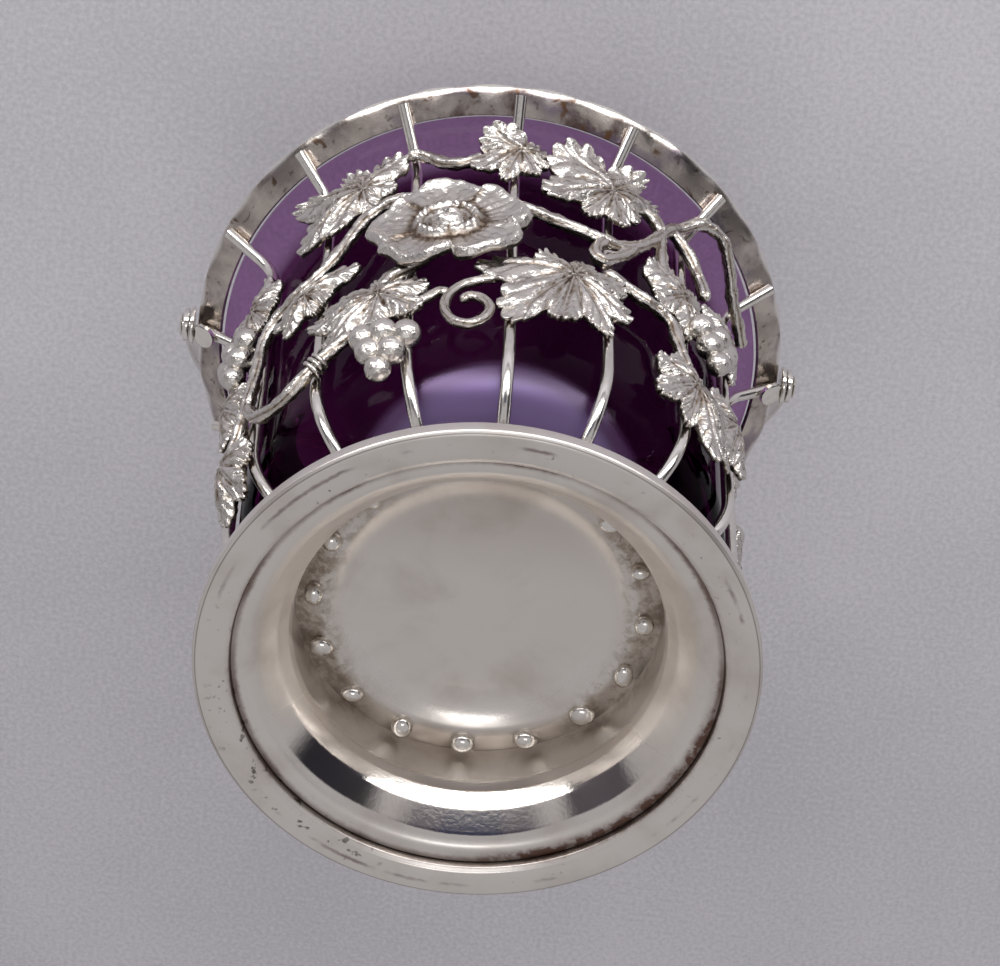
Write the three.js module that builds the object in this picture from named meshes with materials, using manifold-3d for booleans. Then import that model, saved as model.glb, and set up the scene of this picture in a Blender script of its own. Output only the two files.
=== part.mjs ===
// Sugar basket in silver with an amethyst glass liner, millimetres, +Z up.
// The origin is the middle of the foot, on the surface it stands on, and the swing handle turns about X.
// Sixteen wires rise from the foot to a scalloped collar, a vine of cast leaves, grapes, a flower and
// stems is soldered to the outside of the wires, and the glass cup lifts out between them.
import * as THREE from 'three';
import { mergeVertices } from 'three/addons/utils/BufferGeometryUtils.js';
import Module from 'manifold-3d';

const wasm = await Module();
wasm.setup();

// Clearances
const SEAT_GAP = 0.3; // between pieces that are soldered or rest on each other
const LINER_GAP = 0.4; // between the glass and the wires around it
const LIFT_GAP = 0.4; // between the liner's lip and the collar it lifts out through
const PIVOT_GAP = 0.25; // side play of the handle between its lug and the rivet's head
const PIN_GAP = 0.3; // round the rivet's shank

// Foot: an applied ring under a spun, domed foot with a short neck
const FOOT_R = 37.5;
const FOOT_RING_WIDTH = 4.5;
const FOOT_RING_BASE = 1.2;
const FOOT_RING_HEIGHT = 2.5;
const FOOT_RING_LIP = 0.6;
const FOOT_RING_EASE = 0.35; // rounding of the ring's outer edges
const FOOT_SHEET = 0.8;
const NECK_R = 25; // inside the neck
const DOME_FLAT = 2.6; // width of the flat inside the ring, before the foot rolls up into the neck
const DOME_RISE = 7.7; // from the ring's top to the neck's lower edge
const DOME_BULGE = 0.7; // how far the foot's curve hangs under its own chord

// Cage: where each wire's centre line turns, seen in its own radial plane
const WIRE_COUNT = 16;
const WIRE_R = 0.9;
const WIRE_TIP_R = 21.9;
const WIRE_TIP_Z = 14.25;
const CAGE_CORNER_R = 35;
const CAGE_CORNER_Z = 19.5;
const CAGE_CORNER_FILLET = 12;
const CAGE_TOP_R = 36.4;
const CAGE_TOP_Z = 78.5;
const CAGE_TOP_FILLET = 6;
const WIRE_END_SHORT = 1.4; // the wires stop this far under the collar's edge

// Collar: a flared band on top of the wires, with a scalloped edge
const COLLAR_R = 45.2;
const COLLAR_Z = 85.4;
const COLLAR_FLARE = 31.9; // degrees above level
const COLLAR_WIDTH = 4.3;
const COLLAR_SHEET = 0.7;
const SCALLOPS_PER_WIRE = 2;
const SCALLOP_HEIGHT = 0.6;

// Base plate: a raised disc on the wires' inner ends, which carries the liner
const PLATE_FLANGE_R = 25.4;
const PLATE_STEP_R = 20.9;
const PLATE_RISE = 2.4;
const PLATE_ROLL = 3.7; // width of the raised disc's rounded shoulder
const PLATE_FILLET = 9;
const PLATE_SHEET = 0.7;

// Liner
const GLASS_WALL = 2.2;
const GLASS_FLOOR = 2.6;
const LINER_CORNER_FILLET = 11.5;

// Hinge and handle
const LUG_R = 3;
const LUG_SHEET = 0.6;
const RIVET_R = 0.75;
const RIVET_HEAD_R = 1.8;
const RIVET_HEAD_HEIGHT = 0.55;
const RIVET_HEAD_FILLET = 0.44;
const PIVOT_DROP = 0.9; // the pivot lies this far under the collar's edge
const STRAP_HALF_WIDTH = 2.4;
const STRAP_HALF_LENGTH = 3.2;
const STRAP_SHEET = 0.8;
const STRAP_EDGE = 0.56; // its thickness at the rim
const EYE_R = 2.6;
const EYE_SHEET = 0.8;
const BOW_START = 1.8; // above the pivot, inside the eye
const BOW_START_WIDTH = 2.9;
const BOW_HEIGHT = 56; // from the pivot to the middle of the bow
const BOW_THICK = 2.2;
const BOW_WIDTH = 3.4;
const BOW_SWELL = 0.7; // below 1, the bow is nearly full for most of its length
const HANDLE_LEAN = 51; // degrees from upright, towards +Y, as it lies at rest

// Vine: heights are up the cage, azimuths in degrees from the front, reaches in millimetres
const STEM_R = 0.9;
const TENDRIL_R = 0.7;
const LEAF_SHEET = 0.8;
const LEAF_RIM = 0.65; // its thickness at the rim
const LEAF_DOME = 1.6; // how far the middle of a leaf stands off the wires
const LEAF_SHOULDER = 1; // and half way out
const LEAF_VEIN = 0.3;
const LEAF_SINUS = 0.56; // where the cut between two lobes ends, as a share of their reach
const LEAF_NOTCH_AT = 0.24; // the notch beside a lobe's tip, as a share of the angle to the next lobe
const LEAF_NOTCH_REACH = 0.8; // and of the lobe's reach
const TRIM_GROWTH = 0.75; // outward growth of a leaf's outline that leaves SEAT_GAP beside its steep edges
const GRAPE_R = 1.9;
const GRAPE_PITCH = 3;
const GRAPE_ROW_PITCH = 2.6;
const GRAPE_MIDDLE_PROUD = 0.6; // how far the middle grapes of a row stand off their neighbours
const GRAPE_ROW_PROUD = 0.1; // and each row off the one above
const FLOWER_R = 10.8;
const FLOWER_PETALS = 5;
const FLOWER_WAIST = 0.76; // reach between two petals, as a share of their reach
const FLOWER_CUP = 1; // how far the petals' rims stand off the flower's middle
const FLOWER_BACK = 0.6; // and the back of the rims
const FLOWER_FOLD = 0.3; // along the middle of each petal
const FLOWER_BOSS = 1.8;

// Facets
const LATHE_STEPS = 32;
const FILLET_STEPS = 4;
const SEAT_STEPS = 10;
const DOME_STEPS = 4;
const WIRE_SIDES = 6;
const STEM_SIDES = 5;
const STEM_STEP = 4.4;
const GRAPE_SIDES = 6;
const GRAPE_RINGS = 4;
const PIN_STEPS = 12;
const STRAP_STEPS = 12;
const PETAL_STEPS = 6;
const BOW_STEPS = 22;
const BOW_SIDES = 8;

const radians = THREE.MathUtils.degToRad;
const collarLine = new THREE.Vector2(Math.cos(radians(COLLAR_FLARE)), Math.sin(radians(COLLAR_FLARE)));

// One closed body with its faces out, from any closed three.js geometry.
function closed(geometry) {
  const bare = geometry.index ? geometry.toNonIndexed() : geometry.clone();
  bare.deleteAttribute('normal');
  bare.deleteAttribute('uv');
  const merged = mergeVertices(bare, 1e-4);
  const p = merged.attributes.position;
  const kept = [];
  let volume = 0;
  for (let i = 0; i < merged.index.count; i += 3) {
    const [a, b, c] = [0, 1, 2].map((k) => merged.index.getX(i + k));
    if (a === b || b === c || c === a) continue;
    kept.push(a, b, c);
    const [va, vb, vc] = [a, b, c].map((k) => new THREE.Vector3().fromBufferAttribute(p, k));
    volume += va.dot(vb.cross(vc)) / 6;
  }
  if (volume < 0) {
    for (let i = 0; i < kept.length; i += 3) [kept[i], kept[i + 1]] = [kept[i + 1], kept[i]];
  }
  merged.setIndex(kept);
  return merged;
}

function toManifold(geometry) {
  const body = closed(geometry);
  return new wasm.Manifold(new wasm.Mesh({
    numProp: 3,
    vertProperties: Float32Array.from(body.attributes.position.array),
    triVerts: Uint32Array.from(body.index.array),
  }));
}

function fromManifold(body) {
  const mesh = body.getMesh();
  const geometry = new THREE.BufferGeometry();
  geometry.setAttribute('position', new THREE.BufferAttribute(mesh.vertProperties, 3));
  geometry.setIndex([...mesh.triVerts]);
  return geometry;
}

const joined = (geometries) => geometries.map(toManifold).reduce((whole, next) => whole.add(next));

// A profile through corners, each given as { r, z, fillet }, with an arc at every fillet.
function rounded(corners, steps = FILLET_STEPS) {
  const at = (i) => new THREE.Vector2(corners[i].r, corners[i].z);
  return corners.flatMap((corner, i) => {
    if (!corner.fillet) return [at(i)];
    const into = at(i).sub(at(i - 1)).normalize();
    const out = at(i + 1).sub(at(i)).normalize();
    const turn = Math.atan2(into.cross(out), into.dot(out));
    const side = new THREE.Vector2(-into.y, into.x).multiplyScalar(Math.sign(turn));
    const start = at(i).addScaledVector(into, -corner.fillet * Math.tan(Math.abs(turn) / 2));
    return Array.from({ length: steps + 1 }, (_, k) => {
      const angle = (Math.abs(turn) * k) / steps;
      return start.clone()
        .addScaledVector(into, corner.fillet * Math.sin(angle))
        .addScaledVector(side, corner.fillet * (1 - Math.cos(angle)));
    });
  });
}

// The same profile moved sideways: a positive distance is towards its left, which is the liner's side.
function shifted(corners, distance) {
  const at = (i) => new THREE.Vector2(corners[i].r, corners[i].z);
  const left = (i) => {
    const along = at(i + 1).sub(at(i)).normalize();
    return new THREE.Vector2(-along.y, along.x);
  };
  return corners.map((corner, i) => {
    const before = left(Math.max(i - 1, 0));
    const after = left(Math.min(i, corners.length - 2));
    const mitre = before.clone().add(after).multiplyScalar(distance / (1 + before.dot(after)));
    const fillet = corner.fillet ? corner.fillet - Math.sign(before.cross(after)) * distance : 0;
    return { r: corner.r + mitre.x, z: corner.z + mitre.y, fillet };
  });
}

const turned = (points, steps = LATHE_STEPS) => new THREE.LatheGeometry(points, steps).rotateX(Math.PI / 2);

// A ring or shell turned from a sheet: the line given, and the same line one thickness to its left.
function sheetRing(corners, sheet, steps = LATHE_STEPS) {
  const under = rounded(corners);
  const over = rounded(shifted(corners, sheet));
  return closed(turned([...under, ...over.reverse(), under[0]], steps));
}

function polygon(radius, sides) {
  return new THREE.Shape(Array.from({ length: sides }, (_, k) => {
    const angle = (2 * Math.PI * (k + 0.5)) / sides;
    return new THREE.Vector2(radius * Math.cos(angle), radius * Math.sin(angle));
  }));
}

// A path that keeps its own stations, so that a straight run takes one step and a bend several.
class StationPath extends THREE.Curve {
  constructor(points) {
    super();
    this.points = points;
  }

  getPointAt(t) {
    return this.points[Math.round(t * (this.points.length - 1))].clone();
  }

  getTangentAt(t) {
    const i = Math.round(t * (this.points.length - 1));
    const towards = (a, b) => this.points[b].clone().sub(this.points[a]).normalize();
    const last = this.points.length - 1;
    if (i === 0) return towards(0, 1);
    if (i === last) return towards(last - 1, last);
    return towards(i - 1, i).add(towards(i, i + 1)).normalize();
  }
}

function tube(path, radius, sides, steps) {
  const settings = { steps, extrudePath: path, bevelEnabled: false };
  return new THREE.ExtrudeGeometry(polygon(radius, sides), settings);
}

// The cage's line: in along the foot, up the wall and out under the collar.
const collarEdge = new THREE.Vector2(COLLAR_R, COLLAR_Z);
const wireEnd = collarEdge.clone()
  .addScaledVector(collarLine, -WIRE_END_SHORT)
  .add(new THREE.Vector2(collarLine.y, -collarLine.x).multiplyScalar(WIRE_R + SEAT_GAP));
const cageCorners = [
  { r: WIRE_TIP_R, z: WIRE_TIP_Z, fillet: 0 },
  { r: CAGE_CORNER_R, z: CAGE_CORNER_Z, fillet: CAGE_CORNER_FILLET },
  { r: CAGE_TOP_R, z: CAGE_TOP_Z, fillet: CAGE_TOP_FILLET },
  { r: wireEnd.x, z: wireEnd.y, fillet: 0 },
];
const cageFootSlope = (CAGE_CORNER_Z - WIRE_TIP_Z) / (CAGE_CORNER_R - WIRE_TIP_R);
const cageFootCos = Math.cos(Math.atan(cageFootSlope));
const wireHeightAt = (r) => WIRE_TIP_Z + cageFootSlope * (r - WIRE_TIP_R);

// The outside of the cage, where the vine is seated. Places on it are an azimuth, a distance up the
// line and a height off it.
const seat = rounded(shifted(cageCorners, -(WIRE_R + SEAT_GAP)), SEAT_STEPS);
const seatLengths = seat.reduce(
  (sums, p, i) => [...sums, i ? sums[i - 1] + p.distanceTo(seat[i - 1]) : 0], []);

function upTheSeat(z) {
  const i = Math.max(1, seat.findIndex((p) => p.y >= z));
  const share = (z - seat[i - 1].y) / (seat[i].y - seat[i - 1].y);
  return THREE.MathUtils.lerp(seatLengths[i - 1], seatLengths[i], share);
}

const seatOutward = (i) => {
  const along = seat[Math.min(i + 1, seat.length - 1)].clone().sub(seat[Math.max(i - 1, 0)]).normalize();
  return new THREE.Vector2(along.y, -along.x);
};

function onCage(azimuth, length, height) {
  const last = seatLengths.length - 1;
  const found = seatLengths.findIndex((s) => s >= length);
  const i = found < 0 ? last : Math.max(1, found);
  const share = (length - seatLengths[i - 1]) / (seatLengths[i] - seatLengths[i - 1]);
  const foot = seat[i - 1].clone().lerp(seat[i], share);
  const outward = seatOutward(i - 1).lerp(seatOutward(i), THREE.MathUtils.clamp(share, 0, 1)).normalize();
  const at = foot.addScaledVector(outward, height);
  return new THREE.Vector3(at.x * Math.sin(azimuth), -at.x * Math.cos(azimuth), at.y);
}

const WALL_R = (CAGE_CORNER_R + CAGE_TOP_R) / 2 + WIRE_R + SEAT_GAP;

// A place on the wall, moved by (u, v) millimetres across and up it.
function onWall(azimuth, length, u, v, height) {
  return onCage(radians(azimuth) + u / WALL_R, length + v, height);
}

function wire(index) {
  const line = rounded(cageCorners);
  const azimuth = (2 * Math.PI * index) / WIRE_COUNT;
  const across = new THREE.Vector3(Math.sin(azimuth), -Math.cos(azimuth), 0);
  const stations = line.map((p) => across.clone().multiplyScalar(p.x).setZ(p.y));
  return tube(new StationPath(stations), WIRE_R, WIRE_SIDES, stations.length - 1);
}

const footRingInner = FOOT_R - FOOT_RING_WIDTH;
const flangeZ = FOOT_RING_BASE + SEAT_GAP;

function footRing() {
  const lipInner = FOOT_R - FOOT_RING_LIP;
  const profile = rounded([
    { r: footRingInner, z: 0, fillet: 0 },
    { r: FOOT_R, z: 0, fillet: FOOT_RING_EASE },
    { r: FOOT_R, z: FOOT_RING_HEIGHT, fillet: 0 },
    { r: lipInner, z: FOOT_RING_HEIGHT, fillet: 0 },
    { r: lipInner, z: FOOT_RING_BASE, fillet: 0 },
    { r: footRingInner, z: FOOT_RING_BASE, fillet: 0 },
  ], 2);
  return closed(turned([...profile, profile[0]]));
}

// The foot's sheet: a flange in the ring, a domed rise and the neck that the wires cross.
function foot() {
  const flangeOuter = FOOT_R - FOOT_RING_LIP - SEAT_GAP;
  const domeZ = flangeZ + DOME_RISE;
  const wireUnder = wireHeightAt(NECK_R) - WIRE_R / cageFootCos;
  const neckTop = wireUnder - SEAT_GAP - FOOT_SHEET * cageFootSlope;
  const flatR = footRingInner - DOME_FLAT;
  const chord = new THREE.Vector2(NECK_R - flatR, DOME_RISE);
  const bulge = new THREE.Vector2(-chord.y, chord.x).normalize().multiplyScalar(DOME_BULGE);
  const dome = Array.from({ length: DOME_STEPS - 1 }, (_, k) => {
    const share = (k + 1) / DOME_STEPS;
    const lift = 4 * share * (1 - share);
    return {
      r: flatR + chord.x * share + bulge.x * lift,
      z: flangeZ + chord.y * share + bulge.y * lift,
      fillet: 0,
    };
  });
  const under = [
    { r: flangeOuter, z: flangeZ, fillet: 0 },
    { r: flatR, z: flangeZ, fillet: 0 },
    ...dome,
    { r: NECK_R, z: domeZ, fillet: 0 },
    { r: NECK_R, z: neckTop, fillet: 0 },
  ];
  return sheetRing(under.reverse(), FOOT_SHEET);
}

const plateZ = wireHeightAt(PLATE_STEP_R) + (WIRE_R + SEAT_GAP) / cageFootCos + PLATE_RISE;

function basePlate() {
  const aboveWires = (r) => wireHeightAt(r) + (WIRE_R + SEAT_GAP) / cageFootCos;
  const corners = [
    { r: 0, z: plateZ, fillet: 0 },
    { r: PLATE_STEP_R - PLATE_ROLL, z: plateZ, fillet: PLATE_FILLET },
    { r: PLATE_STEP_R, z: aboveWires(PLATE_STEP_R), fillet: 0 },
    { r: PLATE_FLANGE_R, z: aboveWires(PLATE_FLANGE_R), fillet: 0 },
  ];
  const under = rounded(corners, 2);
  const over = rounded(shifted(corners, PLATE_SHEET), 2);
  return closed(turned([...under, ...over.reverse()]));
}

const scallopAt = (azimuth) => (1 - Math.cos(azimuth * WIRE_COUNT * SCALLOPS_PER_WIRE)) / 2;
const collarLower = collarEdge.clone().addScaledVector(collarLine, -COLLAR_WIDTH);
const collarInnerR = collarLower.x - COLLAR_SHEET * collarLine.y;

function collar() {
  const line = [collarLower, collarEdge].map((p) => ({ r: p.x, z: p.y, fillet: 0 }));
  const band = sheetRing(line, COLLAR_SHEET, WIRE_COUNT * SCALLOPS_PER_WIRE * 3);
  const p = band.attributes.position;
  for (let i = 0; i < p.count; i += 1) {
    const r = Math.hypot(p.getX(i), p.getY(i));
    const azimuth = Math.atan2(p.getX(i), -p.getY(i));
    const atEdge = r > (collarLower.x + COLLAR_R) / 2;
    if (atEdge) p.setZ(i, p.getZ(i) + SCALLOP_HEIGHT * scallopAt(azimuth));
  }
  return band;
}

// The glass follows the cage's line one clearance inside it, and flares to a lip under the collar.
function liner() {
  const cage = shifted(cageCorners, WIRE_R + LINER_GAP);
  const lipR = collarInnerR - LIFT_GAP;
  const [, low, high, end] = cage;
  const lipShare = (lipR - high.r) / (end.r - high.r);
  const lip = { r: lipR, z: THREE.MathUtils.lerp(high.z, end.z, lipShare), fillet: 0 };
  const floorZ = plateZ + PLATE_SHEET + SEAT_GAP;
  const wallLean = (high.r - low.r) / (high.z - low.z);
  const outer = [
    { r: 0, z: floorZ, fillet: 0 },
    { r: low.r + wallLean * (floorZ - low.z), z: floorZ, fillet: LINER_CORNER_FILLET },
    high,
    lip,
  ];
  const inner = shifted(outer, GLASS_WALL);
  inner[0] = { r: 0, z: floorZ + GLASS_FLOOR, fillet: 0 };
  inner[1] = { ...inner[1], z: floorZ + GLASS_FLOOR };
  return closed(turned([...rounded(outer), ...rounded(inner).reverse()]));
}

// Everything at the hinge is made for the right side, in the handle's frame, and turned for the left.
const pivotZ = COLLAR_Z - PIVOT_DROP;
const lugInner = COLLAR_R + SEAT_GAP;
const eyeInner = lugInner + LUG_SHEET + PIVOT_GAP;
const eyeMiddle = eyeInner + EYE_SHEET / 2;
const headInner = eyeInner + EYE_SHEET + PIVOT_GAP;

// A cylinder along X, from one distance to another.
function acrossX(radius, from, to) {
  return new THREE.CylinderGeometry(radius, radius, to - from, PIN_STEPS)
    .rotateZ(-Math.PI / 2)
    .translate((from + to) / 2, 0, 0);
}

// A piece cast to lie on the cage. The outline is a ring of [angle, reach], and the section says the
// outer face's height at the middle, half way out and at the rim, for a place on the outline.
function casting(azimuth, length, outline, section, backHeight) {
  const at = (angle, reach, height) => onWall(
    azimuth, length, reach * Math.cos(radians(angle)), reach * Math.sin(radians(angle)), height);
  const rings = [
    outline.map(([angle, reach], i) => at(angle, reach / 2, section.half(i))),
    outline.map(([angle, reach], i) => at(angle, reach, section.rim(i))),
    outline.map(([angle, reach]) => at(angle, reach, section.back)),
  ];
  const top = at(0, 0, section.middle);
  const back = at(0, 0, backHeight);
  const faces = [];
  outline.forEach((_, i) => {
    const j = (i + 1) % outline.length;
    faces.push(top, rings[0][i], rings[0][j]);
    [[0, 1], [1, 2]].forEach(([a, b]) => {
      faces.push(rings[a][i], rings[b][i], rings[b][j], rings[a][i], rings[b][j], rings[a][j]);
    });
    faces.push(back, rings[2][j], rings[2][i]);
  });
  return closed(new THREE.BufferGeometry().setFromPoints(faces));
}

// A vine leaf's outline from its lobes, each [angle, reach]: the tip, a notch each side and the cut
// between two lobes.
function leafOutline(lobes) {
  const ordered = [...lobes].sort((a, b) => a[0] - b[0]);
  return ordered.flatMap(([angle, reach], i) => {
    const wraps = i === ordered.length - 1;
    const [nextAngle, nextReach] = ordered[wraps ? 0 : i + 1];
    const gap = nextAngle + (wraps ? 360 : 0) - angle;
    const sinus = (LEAF_SINUS * (reach + nextReach)) / 2;
    return [
      [angle, reach],
      [angle + gap * LEAF_NOTCH_AT, reach * LEAF_NOTCH_REACH],
      [angle + gap / 2, sinus],
      [angle + gap * (1 - LEAF_NOTCH_AT), nextReach * LEAF_NOTCH_REACH],
    ];
  });
}

function leafCasting({ azimuth, z, lobes }) {
  const outline = leafOutline(lobes);
  const vein = (i) => (i % 4 === 0 ? LEAF_VEIN : -LEAF_VEIN * (i % 2 === 0));
  return casting(azimuth, upTheSeat(z), outline, {
    middle: LEAF_DOME + LEAF_SHEET,
    half: (i) => LEAF_SHOULDER + LEAF_SHEET + vein(i),
    rim: () => LEAF_RIM,
    back: 0,
  }, LEAF_DOME);
}

// The space that a leaf and its clearance take, to end a stem against it.
function leafSpace({ azimuth, z, lobes }) {
  const outline = leafOutline(lobes).map(([angle, reach]) => [angle, reach + TRIM_GROWTH]);
  const high = LEAF_DOME + 2 * STEM_R + SEAT_GAP;
  const section = { middle: high, half: () => high, rim: () => high, back: -SEAT_GAP };
  return toManifold(casting(azimuth, upTheSeat(z), outline, section, -SEAT_GAP));
}

// One stem through places on the wall, each [azimuth, z], cut back from the leaves it runs into. The
// largest piece that the cuts leave is the stem.
function branch(places, radius, leaves) {
  const points = places.map(([azimuth, z]) => onWall(azimuth, upTheSeat(z), 0, 0, radius));
  const path = new THREE.CatmullRomCurve3(points, false, 'centripetal');
  const steps = Math.ceil(path.getLength() / STEM_STEP);
  const whole = toManifold(tube(path, radius, STEM_SIDES, steps));
  const left = leaves.reduce((rest, leaf) => rest.subtract(leafSpace(leaf)), whole);
  return left.decompose().reduce((largest, next) => (next.volume() > largest.volume() ? next : largest));
}

const network = (branches) => fromManifold(branches.reduce((whole, next) => whole.add(next)));

// Grapes in rows that shorten towards the tip, the middle of each row standing proud.
function bunch({ azimuth, z, tilt, rows }) {
  const grapes = [];
  for (let row = 0; row < rows; row += 1) {
    const count = rows - row;
    for (let k = 0; k < count; k += 1) {
      const across = (k - (count - 1) / 2) * GRAPE_PITCH;
      const down = row * GRAPE_ROW_PITCH;
      const u = across * Math.cos(radians(tilt)) + down * Math.sin(radians(tilt));
      const v = across * Math.sin(radians(tilt)) - down * Math.cos(radians(tilt));
      const proud = k > 0 && k < count - 1 ? GRAPE_MIDDLE_PROUD : GRAPE_ROW_PROUD * row;
      const centre = onWall(azimuth, upTheSeat(z), u, v, GRAPE_R + proud);
      const grape = new THREE.SphereGeometry(GRAPE_R, GRAPE_SIDES, GRAPE_RINGS);
      grapes.push(grape.translate(centre.x, centre.y, centre.z));
    }
  }
  return joined(grapes);
}

// The flower is a shallow cup of petals seated on the stem that passes behind it.
function flower({ azimuth, z, turn }) {
  const base = 2 * STEM_R + SEAT_GAP;
  const steps = FLOWER_PETALS * PETAL_STEPS;
  const outline = Array.from({ length: steps }, (_, k) => {
    const petal = Math.abs(Math.cos(radians((FLOWER_PETALS * 360 * k) / steps / 2)));
    return [turn + (360 * k) / steps, FLOWER_R * THREE.MathUtils.lerp(FLOWER_WAIST, 1, Math.sqrt(petal))];
  });
  return casting(azimuth, upTheSeat(z), outline, {
    middle: base + LEAF_SHEET + FLOWER_BOSS,
    half: (k) => base + LEAF_SHEET + FLOWER_CUP / 4 + (k % PETAL_STEPS === 0 ? FLOWER_FOLD : 0),
    rim: () => base + LEAF_SHEET + FLOWER_CUP,
    back: base + FLOWER_BACK,
  }, base);
}

// The vine of one half of the cage. The other half repeats it, turned half way round.
const LEAVES = {
  leaf_rim_left: { azimuth: -33, z: 71, lobes: [[55, 10], [-5, 4.5], [-88, 4.8], [-127, 9.5],
    [-160, 12.8], [145, 14.2], [112, 9]] },
  leaf_rim_middle: { azimuth: 1, z: 76.2, lobes: [[128, 7.2], [24, 4.2], [-22, 4.4], [-62, 5.6],
    [-110, 7], [-138, 8.4]] },
  leaf_rim_right: { azimuth: 21.5, z: 71.5, lobes: [[130, 12.4], [-150, 11.2], [-116, 7.8], [-77, 7.8],
    [-20, 5.4], [34, 9.8], [64, 10.4]] },
  leaf_middle: { azimuth: 12.5, z: 42.5, lobes: [[174, 13.2], [-124, 15], [-98, 12.6], [-57, 11.2],
    [-27, 9.8], [29, 9.4], [72, 7.4], [125, 7.4]] },
  leaf_left: { azimuth: -46, z: 48.5, lobes: [[22, 8.6], [-30, 4.6], [-85, 3.4], [-140, 6.5], [-177, 7],
    [70, 3.4]] },
  leaf_over_grapes: { azimuth: -27.5, z: 38, lobes: [[21, 6.9], [95, 5.4], [150, 11], [-178, 10.8],
    [-148, 11.4], [-108, 6.2], [-39, 7.2]] },
  leaf_low_right: { azimuth: 43, z: 33, lobes: [[105, 7.4], [170, 6.6], [-130, 9], [-92, 8.4],
    [-60, 11.6], [-24, 12.6], [15, 9], [55, 6.5]] },
  leaf_low_left: { azimuth: -73, z: 27, lobes: [[60, 5.5], [120, 6.5], [180, 6], [232, 8], [285, 7.5],
    [345, 6]] },
};

const SPRAYS = {
  grape_spray_right: {
    leaf: { azimuth: 39.5, z: 54, lobes: [[134, 7.5], [96, 9], [55, 8], [5, 7], [-60, 6.5],
      [-130, 5.5]] },
    grapes: { azimuth: 50, z: 51, tilt: 8, rows: 3 },
  },
  grape_spray_left: {
    leaf: { azimuth: -65, z: 61, lobes: [[80, 9], [42, 6], [-25, 5], [-70, 4.5], [-124, 9], [200, 6],
      [122, 7.5]] },
    grapes: { azimuth: -71, z: 54.5, tilt: -8, rows: 3 },
  },
};

const GRAPES = { azimuth: -25.5, z: 26.5, tilt: -14, rows: 3 };
const FLOWER = { azimuth: -13.5, z: 52.8, turn: 23 };

const STEMS = {
  stem_rim: () => network([
    branch([[-23.6, 77.5], [-21.8, 77.9], [-18.5, 76.6], [-15, 74.2], [-11, 73.8],
      [-7, 75.4]], STEM_R, [LEAVES.leaf_rim_left, LEAVES.leaf_rim_middle]),
  ]),
  stem_main: () => network([
    branch([[-74, 29], [-69, 33.5], [-65.5, 38.5], [-63.6, 44], [-61.5, 49.5], [-57, 52.6], [-51, 53.2],
      [-45, 54], [-40, 56.8], [-36, 60.6], [-32, 64.3], [-27.5, 65.9], [-22.5, 65.5],
      [-14, 62.3]], STEM_R, [LEAVES.leaf_low_left, LEAVES.leaf_rim_left]),
    branch([[-14, 62.3], [-6, 61.7], [3.5, 60.3], [8, 59], [13, 58.2], [19, 57.8], [24, 58.4],
      [28, 60.6], [31.5, 64.5], [34.8, 69.3], [37.5, 73.2], [41, 77], [44.5, 79.6], [50, 80.2],
      [57, 79.4], [63, 78], [69, 77.6], [75, 77.4]], STEM_R, [LEAVES.leaf_rim_right]),
    branch([[20.5, 57.9], [18.4, 55.2], [17.9, 52.6], [19.6, 51.8], [22.4, 54], [25.6, 57.4],
      [28, 60.6]], STEM_R, [LEAVES.leaf_middle]),
    branch([[-14, 62.3], [-15.5, 54], [-18, 47.5], [-22.5, 45.2], [-26, 43.8],
      [-28, 41.7]], STEM_R, [LEAVES.leaf_over_grapes]),
    branch([[35.4, 70.2], [33.4, 72.8], [29, 73.5], [24, 73]], STEM_R, [LEAVES.leaf_rim_right]),
    branch([[35, 69.5], [35, 64.5], [35.2, 60], [37, 56]], STEM_R, [SPRAYS.grape_spray_right.leaf]),
    branch([[38.5, 74], [44.5, 72], [48, 68.5], [50.5, 64.5]], STEM_R, []),
    branch([[-66, 36], [-61, 29.5], [-55.5, 26.8], [-50, 26.6], [-45, 28], [-40, 29.8],
      [-34, 32.5]], STEM_R, [LEAVES.leaf_over_grapes]),
  ]),
  stem_link: () => network([
    branch([[20, 48.9], [25.5, 47.6], [30, 47], [34, 47.2], [37.8, 46.4], [39.2, 43], [40.6, 40.2],
      [42.5, 37.5]], STEM_R, [LEAVES.leaf_middle, LEAVES.leaf_low_right]),
  ]),
  tendril: () => network([
    branch([[0, 41.4], [-6.5, 39.8], [-11, 38.2], [-13.5, 35.2], [-13.6, 31.8], [-11.5, 29],
      [-8.5, 28.2], [-5.5, 29.8], [-4.5, 32.8], [-6.5, 35], [-9, 35.5],
      [-10.4, 34.2]], TENDRIL_R, [LEAVES.leaf_middle]),
    branch([[-13, 36.4], [-15, 37.5], [-17.5, 36.2], [-20.5, 35.3],
      [-24, 36]], TENDRIL_R, [LEAVES.leaf_over_grapes]),
  ]),
};

// A lug: an ear with the rivet's hole, on a strap that lies along the wire under the collar.
function lug() {
  const outline = Array.from({ length: STRAP_STEPS }, (_, k) => {
    const angle = (2 * Math.PI * k) / STRAP_STEPS;
    const flat = Math.hypot(STRAP_HALF_LENGTH * Math.cos(angle), STRAP_HALF_WIDTH * Math.sin(angle));
    return [(360 * k) / STRAP_STEPS, (STRAP_HALF_WIDTH * STRAP_HALF_LENGTH) / flat];
  });
  const section = { middle: STRAP_SHEET, half: () => STRAP_SHEET, rim: () => STRAP_EDGE, back: 0 };
  const toEar = (lugInner + LUG_SHEET - STRAP_SHEET * collarLine.y - seat.at(-1).x) / collarLine.x;
  const strap = casting(90, seatLengths.at(-1) + toEar - STRAP_HALF_LENGTH, outline, section, 0);
  const ear = acrossX(LUG_R, lugInner, lugInner + LUG_SHEET).translate(0, 0, pivotZ);
  const hole = acrossX(RIVET_R + PIN_GAP, lugInner - 1, lugInner + LUG_SHEET + 1).translate(0, 0, pivotZ);
  return fromManifold(joined([strap, ear]).subtract(toManifold(hole)));
}

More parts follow.
